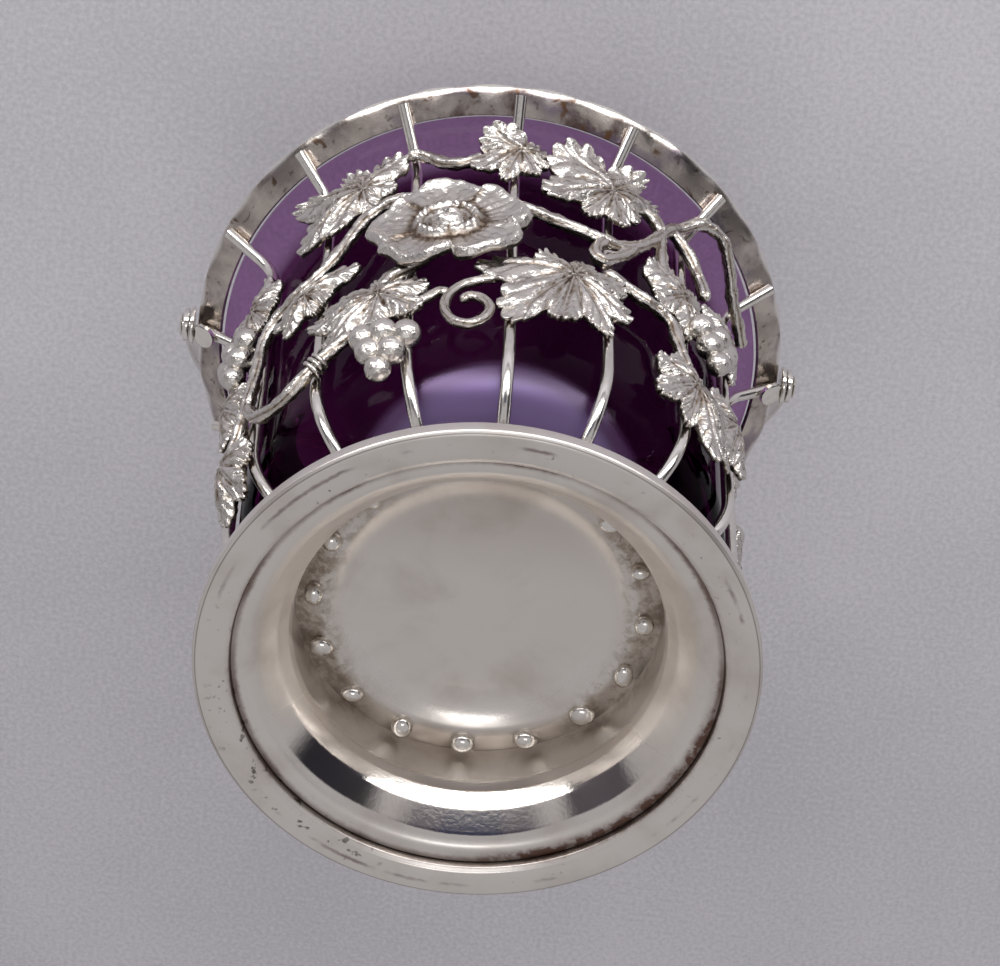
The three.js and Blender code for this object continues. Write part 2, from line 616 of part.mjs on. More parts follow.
function rivet() {
  const shank = acrossX(RIVET_R, lugInner, headInner + RIVET_HEAD_HEIGHT / 2);
  const dome = rounded([
    { r: 0, z: headInner, fillet: 0 },
    { r: RIVET_HEAD_R, z: headInner, fillet: 0 },
    { r: RIVET_HEAD_R, z: headInner + RIVET_HEAD_HEIGHT, fillet: RIVET_HEAD_FILLET },
    { r: 0, z: headInner + RIVET_HEAD_HEIGHT, fillet: 0 },
  ], 1);
  const head = turned(dome, PIN_STEPS).rotateY(Math.PI / 2);
  return fromManifold(joined([shank, head]));
}

// The bow is half an ellipse from eye to eye: as thin as the eye until it is past the ear, and full
// at the top.
function handle() {
  const inEye = Math.asin(BOW_START / BOW_HEIGHT);
  const pastEar = Math.asin((LUG_R + 2 * SEAT_GAP) / BOW_HEIGHT);
  const swell = Math.PI - 2 * pastEar;
  const full = Array.from({ length: BOW_STEPS + 1 }, (_, k) => pastEar + (swell * k) / BOW_STEPS);
  const angles = [inEye, ...full, Math.PI - inEye];
  const rings = angles.map((angle) => {
    const centre = new THREE.Vector3(eyeMiddle * Math.cos(angle), 0, BOW_HEIGHT * Math.sin(angle));
    const outward = new THREE.Vector3(BOW_HEIGHT * Math.cos(angle), 0, eyeMiddle * Math.sin(angle))
      .normalize();
    const along = THREE.MathUtils.clamp((angle - pastEar) / swell, 0, 1);
    const fullness = Math.pow(Math.sin(Math.PI * along), BOW_SWELL);
    const thick = THREE.MathUtils.lerp(EYE_SHEET, BOW_THICK, fullness) / 2;
    const wide = THREE.MathUtils.lerp(BOW_START_WIDTH, BOW_WIDTH, fullness) / 2;
    return Array.from({ length: BOW_SIDES }, (__, j) => {
      const round = (2 * Math.PI * j) / BOW_SIDES;
      return centre.clone()
        .addScaledVector(outward, thick * Math.cos(round))
        .add(new THREE.Vector3(0, wide * Math.sin(round), 0));
    });
  });
  const faces = [];
  rings.slice(1).forEach((ring, k) => {
    ring.forEach((_, j) => {
      const next = (j + 1) % BOW_SIDES;
      faces.push(rings[k][j], rings[k][next], ring[next], rings[k][j], ring[next], ring[j]);
    });
  });
  [[rings[0], 1, 0], [rings.at(-1), 0, 1]].forEach(([ring, a, b]) => {
    for (let j = 1; j < BOW_SIDES - 1; j += 1) {
      const pair = [ring[j], ring[j + 1]];
      faces.push(ring[0], pair[a], pair[b]);
    }
  });
  const bow = new THREE.BufferGeometry().setFromPoints(faces);
  const eyes = [1, -1].map((side) => acrossX(EYE_R, eyeInner, eyeInner + EYE_SHEET)
    .rotateZ(side > 0 ? 0 : Math.PI));
  const bores = [1, -1].map((side) => acrossX(RIVET_R + PIN_GAP, eyeInner - 1, eyeInner + EYE_SHEET + 1)
    .rotateZ(side > 0 ? 0 : Math.PI));
  return fromManifold(joined([bow, ...eyes]).subtract(joined(bores)));
}

// Finishes
const silver = () => new THREE.MeshStandardMaterial({ color: 0xc9c5be, roughness: 0.24, metalness: 1 });
const castSilver = () => new THREE.MeshStandardMaterial({ color: 0xb8b3aa, roughness: 0.34, metalness: 1 });
const amethyst = () => new THREE.MeshStandardMaterial({
  color: 0x3d1a5c, roughness: 0.08, metalness: 0, transparent: true, opacity: 0.8,
});

function piece(name, geometry, material) {
  const ready = closed(geometry);
  ready.computeVertexNormals();
  const mesh = new THREE.Mesh(ready, material);
  mesh.name = name;
  return mesh;
}

const basket = new THREE.Group();
basket.add(piece('foot_ring', footRing(), silver()));
basket.add(piece('foot', foot(), silver()));
basket.add(piece('base_plate', basePlate(), silver()));
basket.add(piece('collar', collar(), silver()));
basket.add(piece('liner', liner(), amethyst()));

for (let k = 0; k < WIRE_COUNT; k += 1) {
  basket.add(piece(`wire_${String(k + 1).padStart(2, '0')}`, wire(k), silver()));
}

[['front', 0], ['back', Math.PI]].forEach(([half, turn]) => {
  const vine = new THREE.Group();
  vine.rotation.z = turn;
  const add = (name, geometry) => vine.add(piece(`${name}_${half}`, geometry, castSilver()));
  Object.entries(LEAVES).forEach(([name, leaf]) => add(name, leafCasting(leaf)));
  Object.entries(SPRAYS).forEach(([name, { leaf, grapes }]) => {
    add(name, fromManifold(toManifold(leafCasting(leaf)).add(bunch(grapes))));
  });
  add('grape_bunch', fromManifold(bunch(GRAPES)));
  add('flower', flower(FLOWER));
  Object.entries(STEMS).forEach(([name, make]) => add(name, make()));
  basket.add(vine);
});

[['right', 0], ['left', Math.PI]].forEach(([side, turn]) => {
  const ear = new THREE.Group();
  ear.rotation.z = turn;
  ear.add(piece(`hinge_lug_${side}`, lug(), silver()));
  const pin = piece(`hinge_rivet_${side}`, rivet(), silver());
  pin.position.z = pivotZ;
  ear.add(pin);
  basket.add(ear);
});

const swing = piece('handle', handle(), silver());
swing.position.z = pivotZ;
swing.rotation.x = -radians(HANDLE_LEAN);
basket.add(swing);

export default basket;
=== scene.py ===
# %% [markdown]
# # A sugar basket in silver wire and cast vine, with an amethyst glass cup
# The real basket is a cage of sixteen wires between a spun foot and a scalloped collar. Cast vine leaves,
# grapes, a flower and stems are soldered to the outside of the wires, and the glass cup lifts out. This
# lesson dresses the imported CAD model: each cell makes one piece or one finish, always in the CAD's frame.
# The frame has +Z up through the mouth, the handle's pivots on X, and the foot standing on z = 0.

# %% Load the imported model
import math

import bpy
import numpy as np
from mathutils import Matrix, Vector


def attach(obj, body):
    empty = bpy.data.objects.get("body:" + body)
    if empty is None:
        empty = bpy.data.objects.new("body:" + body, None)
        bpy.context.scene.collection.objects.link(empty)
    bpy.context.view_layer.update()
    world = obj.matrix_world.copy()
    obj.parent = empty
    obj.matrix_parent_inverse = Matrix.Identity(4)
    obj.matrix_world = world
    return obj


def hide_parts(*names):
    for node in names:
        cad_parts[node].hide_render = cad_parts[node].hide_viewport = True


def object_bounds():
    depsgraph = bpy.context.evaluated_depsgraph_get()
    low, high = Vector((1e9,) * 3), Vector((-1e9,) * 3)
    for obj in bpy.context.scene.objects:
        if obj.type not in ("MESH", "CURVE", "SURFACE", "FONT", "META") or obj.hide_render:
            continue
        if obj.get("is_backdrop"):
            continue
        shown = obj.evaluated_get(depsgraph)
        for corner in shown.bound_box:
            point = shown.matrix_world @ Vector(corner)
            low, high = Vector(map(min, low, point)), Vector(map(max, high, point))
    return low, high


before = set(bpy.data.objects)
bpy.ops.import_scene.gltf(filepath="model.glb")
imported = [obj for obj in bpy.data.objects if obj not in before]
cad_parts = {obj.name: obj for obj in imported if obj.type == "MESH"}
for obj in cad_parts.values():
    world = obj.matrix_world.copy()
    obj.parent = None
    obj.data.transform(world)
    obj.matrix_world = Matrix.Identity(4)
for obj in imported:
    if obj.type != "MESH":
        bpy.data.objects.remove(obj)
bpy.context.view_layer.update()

MM = 0.001


def new_object(name, data):
    made = bpy.data.objects.new(name, data)
    bpy.context.scene.collection.objects.link(made)
    return made


# %% [markdown]
# The camera looks up at the underside from in front. Its place was fitted to the foot's circles, the rim
# and the wires in the photograph. It is written as an aim point, a direction, a distance and a roll, the
# way a photographer would set a tripod, because these can be read and changed one at a time.

# %% Camera
CAMERA_AIM = (0.48, -21.31, 13.97)
CAMERA_AZIMUTH, CAMERA_ELEVATION, CAMERA_ROLL = -4.90, -57.816, 1.613
CAMERA_DISTANCE = 400.0
LENS, SENSOR = 109.67, 36.0
CLIP_START, CLIP_END = 0.01, 20.0


def towards(azimuth, elevation):
    """A direction by its azimuth from the front towards +X and its elevation, in degrees."""
    azimuth, elevation = math.radians(azimuth), math.radians(elevation)
    return Vector((math.sin(azimuth) * math.cos(elevation), -math.cos(azimuth) * math.cos(elevation),
                   math.sin(elevation)))


def set_camera():
    back = towards(CAMERA_AZIMUTH, CAMERA_ELEVATION)
    data = bpy.data.cameras.new("camera")
    data.lens, data.sensor_width, data.sensor_fit = LENS, SENSOR, "HORIZONTAL"
    data.clip_start, data.clip_end = CLIP_START, CLIP_END
    camera = new_object("camera", data)
    aim = (-back).to_track_quat("-Z", "Y").to_matrix().to_4x4()
    camera.matrix_world = (Matrix.Translation((Vector(CAMERA_AIM) + back * CAMERA_DISTANCE) * MM) @ aim
                           @ Matrix.Rotation(math.radians(CAMERA_ROLL), 4, "Z"))
    bpy.context.scene.camera = camera
    return camera


camera = set_camera()
bpy.context.scene.view_settings.view_transform = "Standard"
print("camera at", [round(x / MM, 1) for x in camera.matrix_world.translation])

# %% [markdown]
# Finishes are node trees. Written as Python expressions they stay readable: Value wraps one socket, and its
# operators add Math nodes. Every other node comes from one method, which takes the node's type, its
# settings and what its sockets get. A colour is built up in layers, each laid over the last by its share.

# %% A small language for finishes
class Value:
    """One output socket of a finish, usable in sums."""

    def __init__(self, finish, socket):
        self.finish, self.socket = finish, socket

    def maths(self, operation, *others):
        return self.finish.node("ShaderNodeMath", {"operation": operation}, dict(enumerate([self, *others])))

    def __add__(self, other):
        return self.maths("ADD", other)

    def __sub__(self, other):
        return self.maths("SUBTRACT", other)

    def __mul__(self, other):
        return self.maths("MULTIPLY", other)

    def __rsub__(self, other):
        return self.finish.node("ShaderNodeMath", {"operation": "SUBTRACT"}, {0: other, 1: self})

    def between(self, low, high):
        """0 below low, 1 above high, with a soft step between."""
        return self.finish.node("ShaderNodeMapRange", {"interpolation_type": "SMOOTHSTEP"},
                                {"Value": self, "From Min": low, "From Max": high})

    def near(self, place, width):
        """1 where the value is at a place, falling to 0 a width away from it."""
        return 1 - (self - place).maths("ABSOLUTE").between(0.0, width)

    __radd__, __rmul__ = __add__, __mul__


class Finish:
    """A material in the making, with a Principled shader as its end."""

    def __init__(self, name, **constants):
        self.material = bpy.data.materials.new(name)
        self.material.use_nodes = True
        self.tree = self.material.node_tree
        self.tree.nodes.clear()
        self.end = self.tree.nodes.new("ShaderNodeOutputMaterial")
        self.shader = self.tree.nodes.new("ShaderNodeBsdfPrincipled")
        self.tree.links.new(self.shader.outputs["BSDF"], self.end.inputs["Surface"])
        for socket, value in constants.items():
            self.shader.inputs[socket.replace("_", " ")].default_value = value

    def node(self, kind, settings=None, sockets=None, output=0):
        made = self.tree.nodes.new(kind)
        for name, value in (settings or {}).items():
            setattr(made, name, value)
        for name, value in (sockets or {}).items():
            self.plug(made.inputs[name], value)
        return Value(self, made.outputs[output])

    def plug(self, socket, value):
        if isinstance(value, Value):
            self.tree.links.new(value.socket, socket)
        else:
            socket.default_value = value

    def set(self, socket, value):
        self.plug(self.shader.inputs[socket], value)

    def place(self):
        return self.node("ShaderNodeTexCoord", output="Object")

    def axes(self, vector):
        """The three object coordinates in millimetres."""
        return [self.node("ShaderNodeSeparateXYZ", {}, {"Vector": vector}, output=k) * (1 / MM)
                for k in range(3)]

    def noise(self, vector, size, detail=3.0, roughness=0.55, distortion=0.0):
        """Noise whose spots are about a size in millimetres."""
        return self.node("ShaderNodeTexNoise", {}, {
            "Vector": vector, "Scale": 1 / (size * MM), "Detail": detail, "Roughness": roughness,
            "Distortion": distortion})

    def stretched(self, vector, *factors):
        return self.node("ShaderNodeMapping", {}, {"Vector": vector, "Scale": factors})

    def attribute(self, name):
        return self.node("ShaderNodeAttribute", {"attribute_name": name}, output="Fac")

    def mix(self, share, first, second):
        return self.node("ShaderNodeMix", {"data_type": "RGBA"}, {0: share, 6: first, 7: second}, output=2)

    def layers(self, base, *layers):
        """A colour with others laid over it, each given as its share and its colour."""
        for share, tone in layers:
            base = self.mix(share, base, tone)
        return base

    def bump(self, height, depth):
        """Raises the surface by a height, where 1 stands for a depth in millimetres."""
        self.set("Normal", self.node("ShaderNodeBump", {}, {"Height": height, "Distance": depth * MM}))

    def shaded(self):
        return Value(self, self.shader.outputs["BSDF"])


def colour(red, green, blue):
    """A colour written as its bytes on a screen, made linear."""
    return (*[(c / 255 / 12.92) if c <= 10 else ((c / 255 + 0.055) / 1.055) ** 2.4
              for c in (red, green, blue)], 1.0)


# %% [markdown]
# Silver is a mirror with a warm grey tint, and what makes it read as silver is what it reflects. Age adds
# two things: a haze of fine scratches, which roughness and a very shallow bump stand for, and brown
# tarnish that stays where a polishing cloth doesn't reach.

# %% Silver for the drawn wires, the hinge and the handle
SILVER = colour(236, 232, 226)
# Brown tarnish; on the foot's plate the same colour is also used as painted shade.
TARNISH_AND_SHADE = colour(142, 122, 102)
DEEP_TARNISH = colour(70, 55, 46)


def wire_finish():
    finish = Finish("drawn_silver", Metallic=1.0)
    place = finish.place()
    cloud = finish.noise(place, 7.0, detail=4.0)
    speck = finish.noise(place, 1.1, detail=3.0)
    dull = (cloud * 0.6 + speck * 0.4).between(0.46, 0.72)
    finish.set("Base Color", finish.mix(dull * 0.28, SILVER, TARNISH_AND_SHADE))
    finish.set("Roughness", dull * 0.12 + 0.16)
    finish.bump(finish.noise(place, 0.7, detail=2.0), 0.02)
    return finish.material


drawn_silver = wire_finish()

# %% [markdown]
# Under the foot the tarnish is kept by the seams. Its place depends on the distance from the axis and the
# height, so the finish works those out from the object coordinates and darkens narrow bands there. The seam
# inside the bead is brown, with a broad smear at one side of it and dark knocks at the other. The bead, the
# dome beside the neck and the rolled edge of the plate are rubbed bright. The middle of the plate is darker
# towards its front, which is painted shade. Each pair of lengths below says where a soft step begins and ends.

# %% Silver for the spun foot
FOOT_SILVER, SEAM_BROWN, PURPLE_TARNISH = colour(232, 226, 220), colour(98, 68, 56), colour(120, 100, 104)
SEAM_R, BEAD_HIGH_R, WORN_R, RIM_LINE_R = 32.5, 33.3, 35.5, 37.05
ROLL_HIGH_R, ROLL_Z, ROLL_Y = 18.8, (14.0, 15.0), (2.0, 10.0)
HOLLOW_FROM_R, HOLLOW_TO_R, HOLLOW_Z, BESIDE_X = (18.4, 21.5), (24.6, 25.5), (12.0, 15.5), (10.0, 19.0)
RUBBED_FROM_R, RUBBED_TO_R, RUBBED_Z, RUBBED_Y = (24.5, 25.2), (29.2, 30.6), (9.5, 11.0), (6.0, 17.0)
BEAD_Y, SMEAR_X, SMEAR_Y = (-2.0, 8.0), (-4.0, 12.0), (-6.0, 10.0)
PLATE_SHADE_R, PLATE_SHADE_Y, PLATE_SHADE_Z = (15.0, 20.5), (-17.0, -2.0), (16.0, 16.5)
KNOCKS_X, KNOCKS_Y = (-16.0, -6.0), (2.0, 12.0)


def foot_finish():
    finish = Finish("spun_silver", Metallic=1.0)
    place = finish.place()
    x, y, z = finish.axes(place)
    radius = (x * x + y * y).maths("POWER", 0.5)
    cloud = finish.noise(place, 11.0, detail=4.0, distortion=0.3)
    dull = cloud.between(0.45, 0.75)
    ragged = radius + (finish.noise(place, 0.9, detail=4.0) - 0.5) * 0.5
    patchy = finish.noise(place, 16.0, detail=2.0).between(0.38, 0.62)
    blotch = finish.noise(place, 2.2, detail=4.0, roughness=0.7).between(0.42, 0.62)
    streaks = finish.noise(place, 9.0, detail=3.0).between(0.5, 0.66)
    spots = finish.noise(place, 1.3, detail=2.0).between(0.66, 0.72) * radius.near(SEAM_R + 1.2, 3.0)
    knocks = finish.noise(place, 1.7, detail=2.0).between(0.6, 0.66) * radius.near(SEAM_R + 1.5, 3.5)

    inside = ragged.between(*HOLLOW_FROM_R) * (1 - ragged.between(*HOLLOW_TO_R))
    beside = x.maths("ABSOLUTE").between(*BESIDE_X)
    hollow = inside * z.between(*HOLLOW_Z) * (0.1 + 0.25 * patchy + beside * blotch * 0.6)
    brown = (hollow * 0.85 + dull * 0.26).maths("MINIMUM", 1.0)
    stain = ragged.near(SEAM_R, 0.9) * patchy * 0.4 + ragged.near(WORN_R, 0.45) * streaks * 0.75
    seam = ragged.near(SEAM_R - 0.3, 0.8) * (0.35 + patchy * 0.45)
    smear = ragged.near(SEAM_R - 0.7, 1.4) * x.between(*SMEAR_X) * y.between(*SMEAR_Y)
    smear = smear * (0.45 + blotch * 0.55)
    # Painted shade: the middle of the plate is darkened towards its front with the tarnish colour.
    painted_plate_shade = (1 - radius.between(*PLATE_SHADE_R)) * (1 - y.between(*PLATE_SHADE_Y))
    painted_plate_shade = painted_plate_shade * z.between(*PLATE_SHADE_Z)
    line = radius.near(SEAM_R, 0.2) * 0.9 + radius.near(RIM_LINE_R, 0.14) * 0.6
    knocks = knocks * ((1 - x.between(*KNOCKS_X)) * y.between(*KNOCKS_Y))
    dark = (line + spots * patchy * 0.8 + knocks * 0.8).maths("MINIMUM", 1.0)
    seam = (seam + smear).maths("MINIMUM", 0.95)
    finish.set("Base Color", finish.layers(
        FOOT_SILVER, (brown, TARNISH_AND_SHADE), (stain, PURPLE_TARNISH), (seam, SEAM_BROWN),
        (painted_plate_shade * 0.3, TARNISH_AND_SHADE), (dark, DEEP_TARNISH)))

    rubbed = radius.between(*RUBBED_FROM_R) * (1 - radius.between(*RUBBED_TO_R)) * (1 - z.between(*RUBBED_Z))
    rubbed = rubbed * y.between(*RUBBED_Y)
    bead = radius.near(BEAD_HIGH_R, 0.7) * y.between(*BEAD_Y)
    roll = radius.near(ROLL_HIGH_R, 2.0) * z.between(*ROLL_Z) * y.between(*ROLL_Y)
    bright = (rubbed * rubbed + bead * 0.3 + roll * 0.5) * 0.7
    finish.set("Roughness", (dull * 0.07 + hollow * 0.1 + 0.34) * (1 - bright))
    finish.bump(finish.noise(place, 0.6, detail=3.0) * 0.5 + cloud * 0.5, 0.02)
    return finish.material


spun_silver = foot_finish()

# %% [markdown]
# The collar's underside was never polished after it was soldered. It is mottled grey, brown and purple,
# most of all in front, with a few rusty spots, so several sizes of noise are laid over each other.

# %% Silver for the collar
COLLAR_PALE, COLLAR_BROWN = colour(206, 196, 188), colour(84, 69, 66)
COLLAR_PURPLE, RUST = colour(112, 100, 122), colour(92, 62, 34)
UNDER_Z, FRONT_X, FRONT_Y = (85.1, 85.7), (14.0, 30.0), (-30.0, -10.0)


def collar_finish():
    finish = Finish("collar_silver", Metallic=1.0)
    place = finish.place()
    x, y, z = finish.axes(place)
    under = 1 - z.between(*UNDER_Z)
    in_front = (1 - x.maths("ABSOLUTE").between(*FRONT_X)) * (1 - y.between(*FRONT_Y))
    cloud = finish.noise(place, 6.0, detail=5.0, roughness=0.6, distortion=0.2)
    purple = finish.noise(finish.stretched(place, 1.0, 1.0, 2.0), 8.0, detail=3.0).between(0.5, 0.68)
    rust = finish.noise(place, 3.4, detail=3.0, distortion=0.8).between(0.61, 0.68)
    spots = finish.noise(place, 1.5, detail=2.0).between(0.62, 0.7) * 0.5
    mottled = finish.mix(cloud.between(0.36, 0.64) * (0.4 + in_front * 0.6), COLLAR_PALE, COLLAR_BROWN)
    finish.set("Base Color", finish.layers(
        SILVER, (under, mottled), (purple * under * 0.6, COLLAR_PURPLE), (spots * under, DEEP_TARNISH),
        (rust * under * 0.8, RUST)))
    finish.set("Roughness", cloud.between(0.3, 0.7) * 0.16 * under + 0.18)
    finish.bump(cloud * 0.6 + finish.noise(place, 1.2) * 0.4, 0.05)
    return finish.material


collar_silver = collar_finish()

# %% [markdown]
# The vine is cast and chased. Tarnish sits in every hollow and leaves the high places bright. The pieces
# carry an attribute named hollow, worked out with their shape, and the finish mixes it with noise.

# %% Silver for the cast vine
CAST_SILVER = colour(218, 213, 207)


def cast_finish():
    finish = Finish("cast_silver", Metallic=1.0)
    place = finish.place()
    hollow = finish.attribute("hollow")
    cloud = finish.noise(place, 2.6, detail=4.0)
    pit = finish.noise(place, 0.55, detail=2.0)
    dark = (hollow * 1.15 + (cloud - 0.5) * 0.9).between(0.25, 1.0)
    deepest = (hollow + (pit - 0.5) * 1.6).between(0.62, 1.0)
    finish.set("Base Color", finish.layers(CAST_SILVER, (dark * 0.85, TARNISH_AND_SHADE), (deepest * 0.8, DEEP_TARNISH)))
    finish.set("Roughness", dark * 0.2 + 0.25)
    finish.bump(cloud * 0.6 + pit * 0.4, 0.42)
    return finish.material


cast_silver = cast_finish()

# %% [markdown]
# The cup is clear glass, coloured through its whole mass. A tint on the shader colours light at each wall
# it crosses: one wall near the rim, two lower down, which is why the real cup looks lilac above and almost
# black below. Where the wall turns in to the floor, it mirrors a pale window. A painted reflection stands for
# it: a pale lilac colour with a little metal, below a height that falls away to both sides.

# %% Amethyst glass
AMETHYST_WALL, AMETHYST_DEEP = (0.062, 0.006, 0.048, 1.0), (0.028, 0.002, 0.023, 1.0)
AMETHYST_LIP, AMETHYST_PAINTED_REFLECTION = (0.46, 0.26, 0.50, 1.0), (0.33, 0.23, 0.47, 1.0)
LIP_TINT_Z = (77.0, 80.5)
PAINTED_REFLECTION_Z, PAINTED_REFLECTION_X, PAINTED_REFLECTION_HALF, PAINTED_REFLECTION_FALL = 25.0, 1.0, 21.0, 7.0


def glass_finish():
    finish = Finish("amethyst_glass", Transmission_Weight=1.0, IOR=1.1, Roughness=0.0,
                    Coat_Roughness=0.3, Coat_IOR=2.0)
    place = finish.place()
    x, _, z = finish.axes(place)
    swirl = finish.noise(finish.stretched(place, 1.0, 1.0, 0.35), 22.0, detail=2.0)
    # Painted reflection: low is 1 below a height that falls away to both sides, and lays the pale lilac colour
    # there.
    aside = (x - PAINTED_REFLECTION_X) * (1 / PAINTED_REFLECTION_HALF)
    low = 1 - (z + aside * aside * PAINTED_REFLECTION_FALL).between(PAINTED_REFLECTION_Z - 0.5, PAINTED_REFLECTION_Z + 1.2)
    finish.set("Base Color", finish.layers(
        AMETHYST_WALL, (swirl.between(0.35, 0.65), AMETHYST_DEEP), (z.between(*LIP_TINT_Z), AMETHYST_LIP),
        (low, AMETHYST_PAINTED_REFLECTION)))
    # The painted reflection also gets a little metal, more at the left than at the right, some roughness and a
    # thin coat.
    finish.set("Metallic", low * (0.18 - x.between(-8.0, 6.0) * 0.08))
    finish.set("Roughness", low * 0.35)
    finish.set("Coat Weight", low * 0.15)
    finish.bump(finish.noise(place, 14.0, detail=1.0), 0.12)
    return finish.material


amethyst_glass = glass_finish()
print("finishes", [m.name for m in bpy.data.materials])

# %% [markdown]
# A mesh is a list of points and a list of faces. Points are worked out in millimetres, like the CAD, and
# become metres once, here. A closed body whose faces point inwards is turned round by its signed volume.
# Every piece says which CAD nodes it replaces and which body it rides on.


def unit(vectors):
    return vectors / np.linalg.norm(vectors, axis=-1, keepdims=True)


def about_z(angle):
    """The matrix that turns rows of points round the axis."""
    c, s = math.cos(angle), math.sin(angle)
    return np.array([[c, s, 0], [-s, c, 0], [0, 0, 1]])


def outward(points, faces):
    fans = np.array([(face[0], face[k], face[k + 1]) for face in faces for k in range(1, len(face) - 1)])
    a, b, c = points[fans[:, 0]], points[fans[:, 1]], points[fans[:, 2]]
    if np.einsum("ij,ij->i", a, np.cross(b, c)).sum() > 0:
        return faces
    return [tuple(reversed(face)) for face in faces]


class Body:
    """Points and faces of one closed shell, with how hollow each point lies."""

    def __init__(self, points, faces, hollow=None):
        self.points = np.asarray(points, float)
        self.faces = outward(self.points, faces)
        self.hollow = np.zeros(len(self.points)) if hollow is None else np.asarray(hollow, float)

    def turned(self, angle):
        return Body(self.points @ about_z(angle), self.faces, self.hollow)


def mesh_of(name, bodies, finish, sharp=None):
    counts = np.cumsum([0] + [len(b.points) for b in bodies])
    mesh = bpy.data.meshes.new(name)
    mesh.from_pydata((np.vstack([b.points for b in bodies]) * MM).tolist(), [],
                     [tuple(int(i) + int(first) for i in face) for b, first in zip(bodies, counts)
                      for face in b.faces])
    mesh.attributes.new("hollow", "FLOAT", "POINT").data.foreach_set(
        "value", np.concatenate([b.hollow for b in bodies]))
    mesh.polygons.foreach_set("use_smooth", [True] * len(mesh.polygons))
    if sharp:
        mesh.set_sharp_from_angle(angle=math.radians(sharp))
    mesh.materials.append(finish)
    return mesh


def add_piece(name, mesh, stands_for, body="basket"):
    piece = new_object(name, mesh)
    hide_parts(*stands_for)
    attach(piece, body)
    print(name, len(mesh.vertices), "points")
    return piece


def add_bodies(name, bodies, finish, stands_for, sharp=None, body="basket"):
    return add_piece(name, mesh_of(name, bodies, finish, sharp), stands_for, body)


# %% [markdown]
# Turned pieces are a profile of radius and height carried round the axis. A profile is a few corners, each
# with its own fillet, so that the numbers stay the ones a spinner would read off a drawing.

# %% Turning
TURN_STEPS = 160


def rounded(corners, steps=8):
    """Points along corners given as (r, z, fillet)."""
    points = []
    p = np.array([c[:2] for c in corners], float)
    for i, corner in enumerate(corners):
        fillet = corner[2] if len(corner) > 2 else 0
        if not fillet:
            points.append(p[i])
            continue
        into, out = unit(p[i] - p[i - 1]), unit(p[i + 1] - p[i])
        turn = math.atan2(into[0] * out[1] - into[1] * out[0], into @ out)
        side = np.array([-into[1], into[0]]) * np.sign(turn)
        start = p[i] - into * fillet * math.tan(abs(turn) / 2)
        for k in range(steps + 1):
            a = abs(turn) * k / steps
            points.append(start + into * fillet * math.sin(a) + side * fillet * (1 - math.cos(a)))
    return np.array(points)


def shifted(corners, distance):
    """The same corners moved sideways, to the left for a positive distance."""
    p = np.array([c[:2] for c in corners], float)
    along = np.diff(p, axis=0)
    left = unit(np.column_stack([-along[:, 1], along[:, 0]]))
    moved = []
    for i, corner in enumerate(corners):
        before, after = left[max(i - 1, 0)], left[min(i, len(left) - 1)]
        mitre = (before + after) * distance / (1 + before @ after)
        turn = before[0] * after[1] - before[1] * after[0]
        fillet = corner[2] - np.sign(turn) * distance if len(corner) > 2 and corner[2] else 0
        moved.append((*(p[i] + mitre), fillet))
    return moved


def turned_body(profile, steps=TURN_STEPS, lift=None):
    """A closed profile carried round the axis. Two points on the axis make an open profile with poles."""
    azimuth = np.arange(steps) * 2 * math.pi / steps
    points, rings = [], []
    for r, z in profile:
        if r < 1e-6:
            rings.append([len(points)])
            points.append((0, 0, z))
            continue
        heights = z + (lift(azimuth, r, z) if lift else 0) * np.ones(steps)
        rings.append(list(range(len(points), len(points) + steps)))
        points.extend(zip(r * np.sin(azimuth), -r * np.cos(azimuth), heights))
    faces = []
    closed = profile[0][0] > 1e-6
    for a, b in zip(rings, rings[1:] + (rings[:1] if closed else [])):
        for k in range(steps):
            n = (k + 1) % steps
            if len(a) == 1:
                faces.append((a[0], b[k], b[n]))
            elif len(b) == 1:
                faces.append((a[k], b[0], a[n]))
            else:
                faces.append((a[k], b[k], b[n], a[n]))
    return Body(points, faces)


# %% [markdown]
# The foot is three turned parts. A flat ring stands on the table. A thin sheet is spun to a dome and a
# short neck, and the raised plate that carries the cup closes the neck. The edges are eased, because a
# burnished edge always shows as a thin bright line.

# %% Foot ring and spun foot
FOOT_R, FOOT_RING_INNER, BEAD_IN_R = 37.5, 33.4, 32.55
FOOT_RING_BASE, FOOT_RING_HEIGHT, FOOT_RIM_STEP = 1.2, 2.5, 0.6
FOOT_SHEET, FLANGE_END_R, FLANGE_UNDER_Z = 0.8, FOOT_R - 0.9, 1.5
NECK_R, NECK_TOP = 25.0, 16.9

ring_profile = rounded([
    (BEAD_IN_R, 1.3), (BEAD_IN_R + 0.1, 0.5, 0.35), (FOOT_RING_INNER - 0.25, 0.22, 0.3),
    (FOOT_RING_INNER, 0.0), (FOOT_R - 0.55, 0.0, 0.8), (FOOT_R, 0.5, 0.4), (FOOT_R, FOOT_RING_HEIGHT, 0.4),
    (FOOT_R - FOOT_RIM_STEP, FOOT_RING_HEIGHT, 0.2), (FOOT_R - FOOT_RIM_STEP, FOOT_RING_BASE),
    (BEAD_IN_R, 1.31)], steps=5)
add_bodies("foot_ring_turned", [turned_body(ring_profile)], spun_silver, ["foot_ring"], 50)

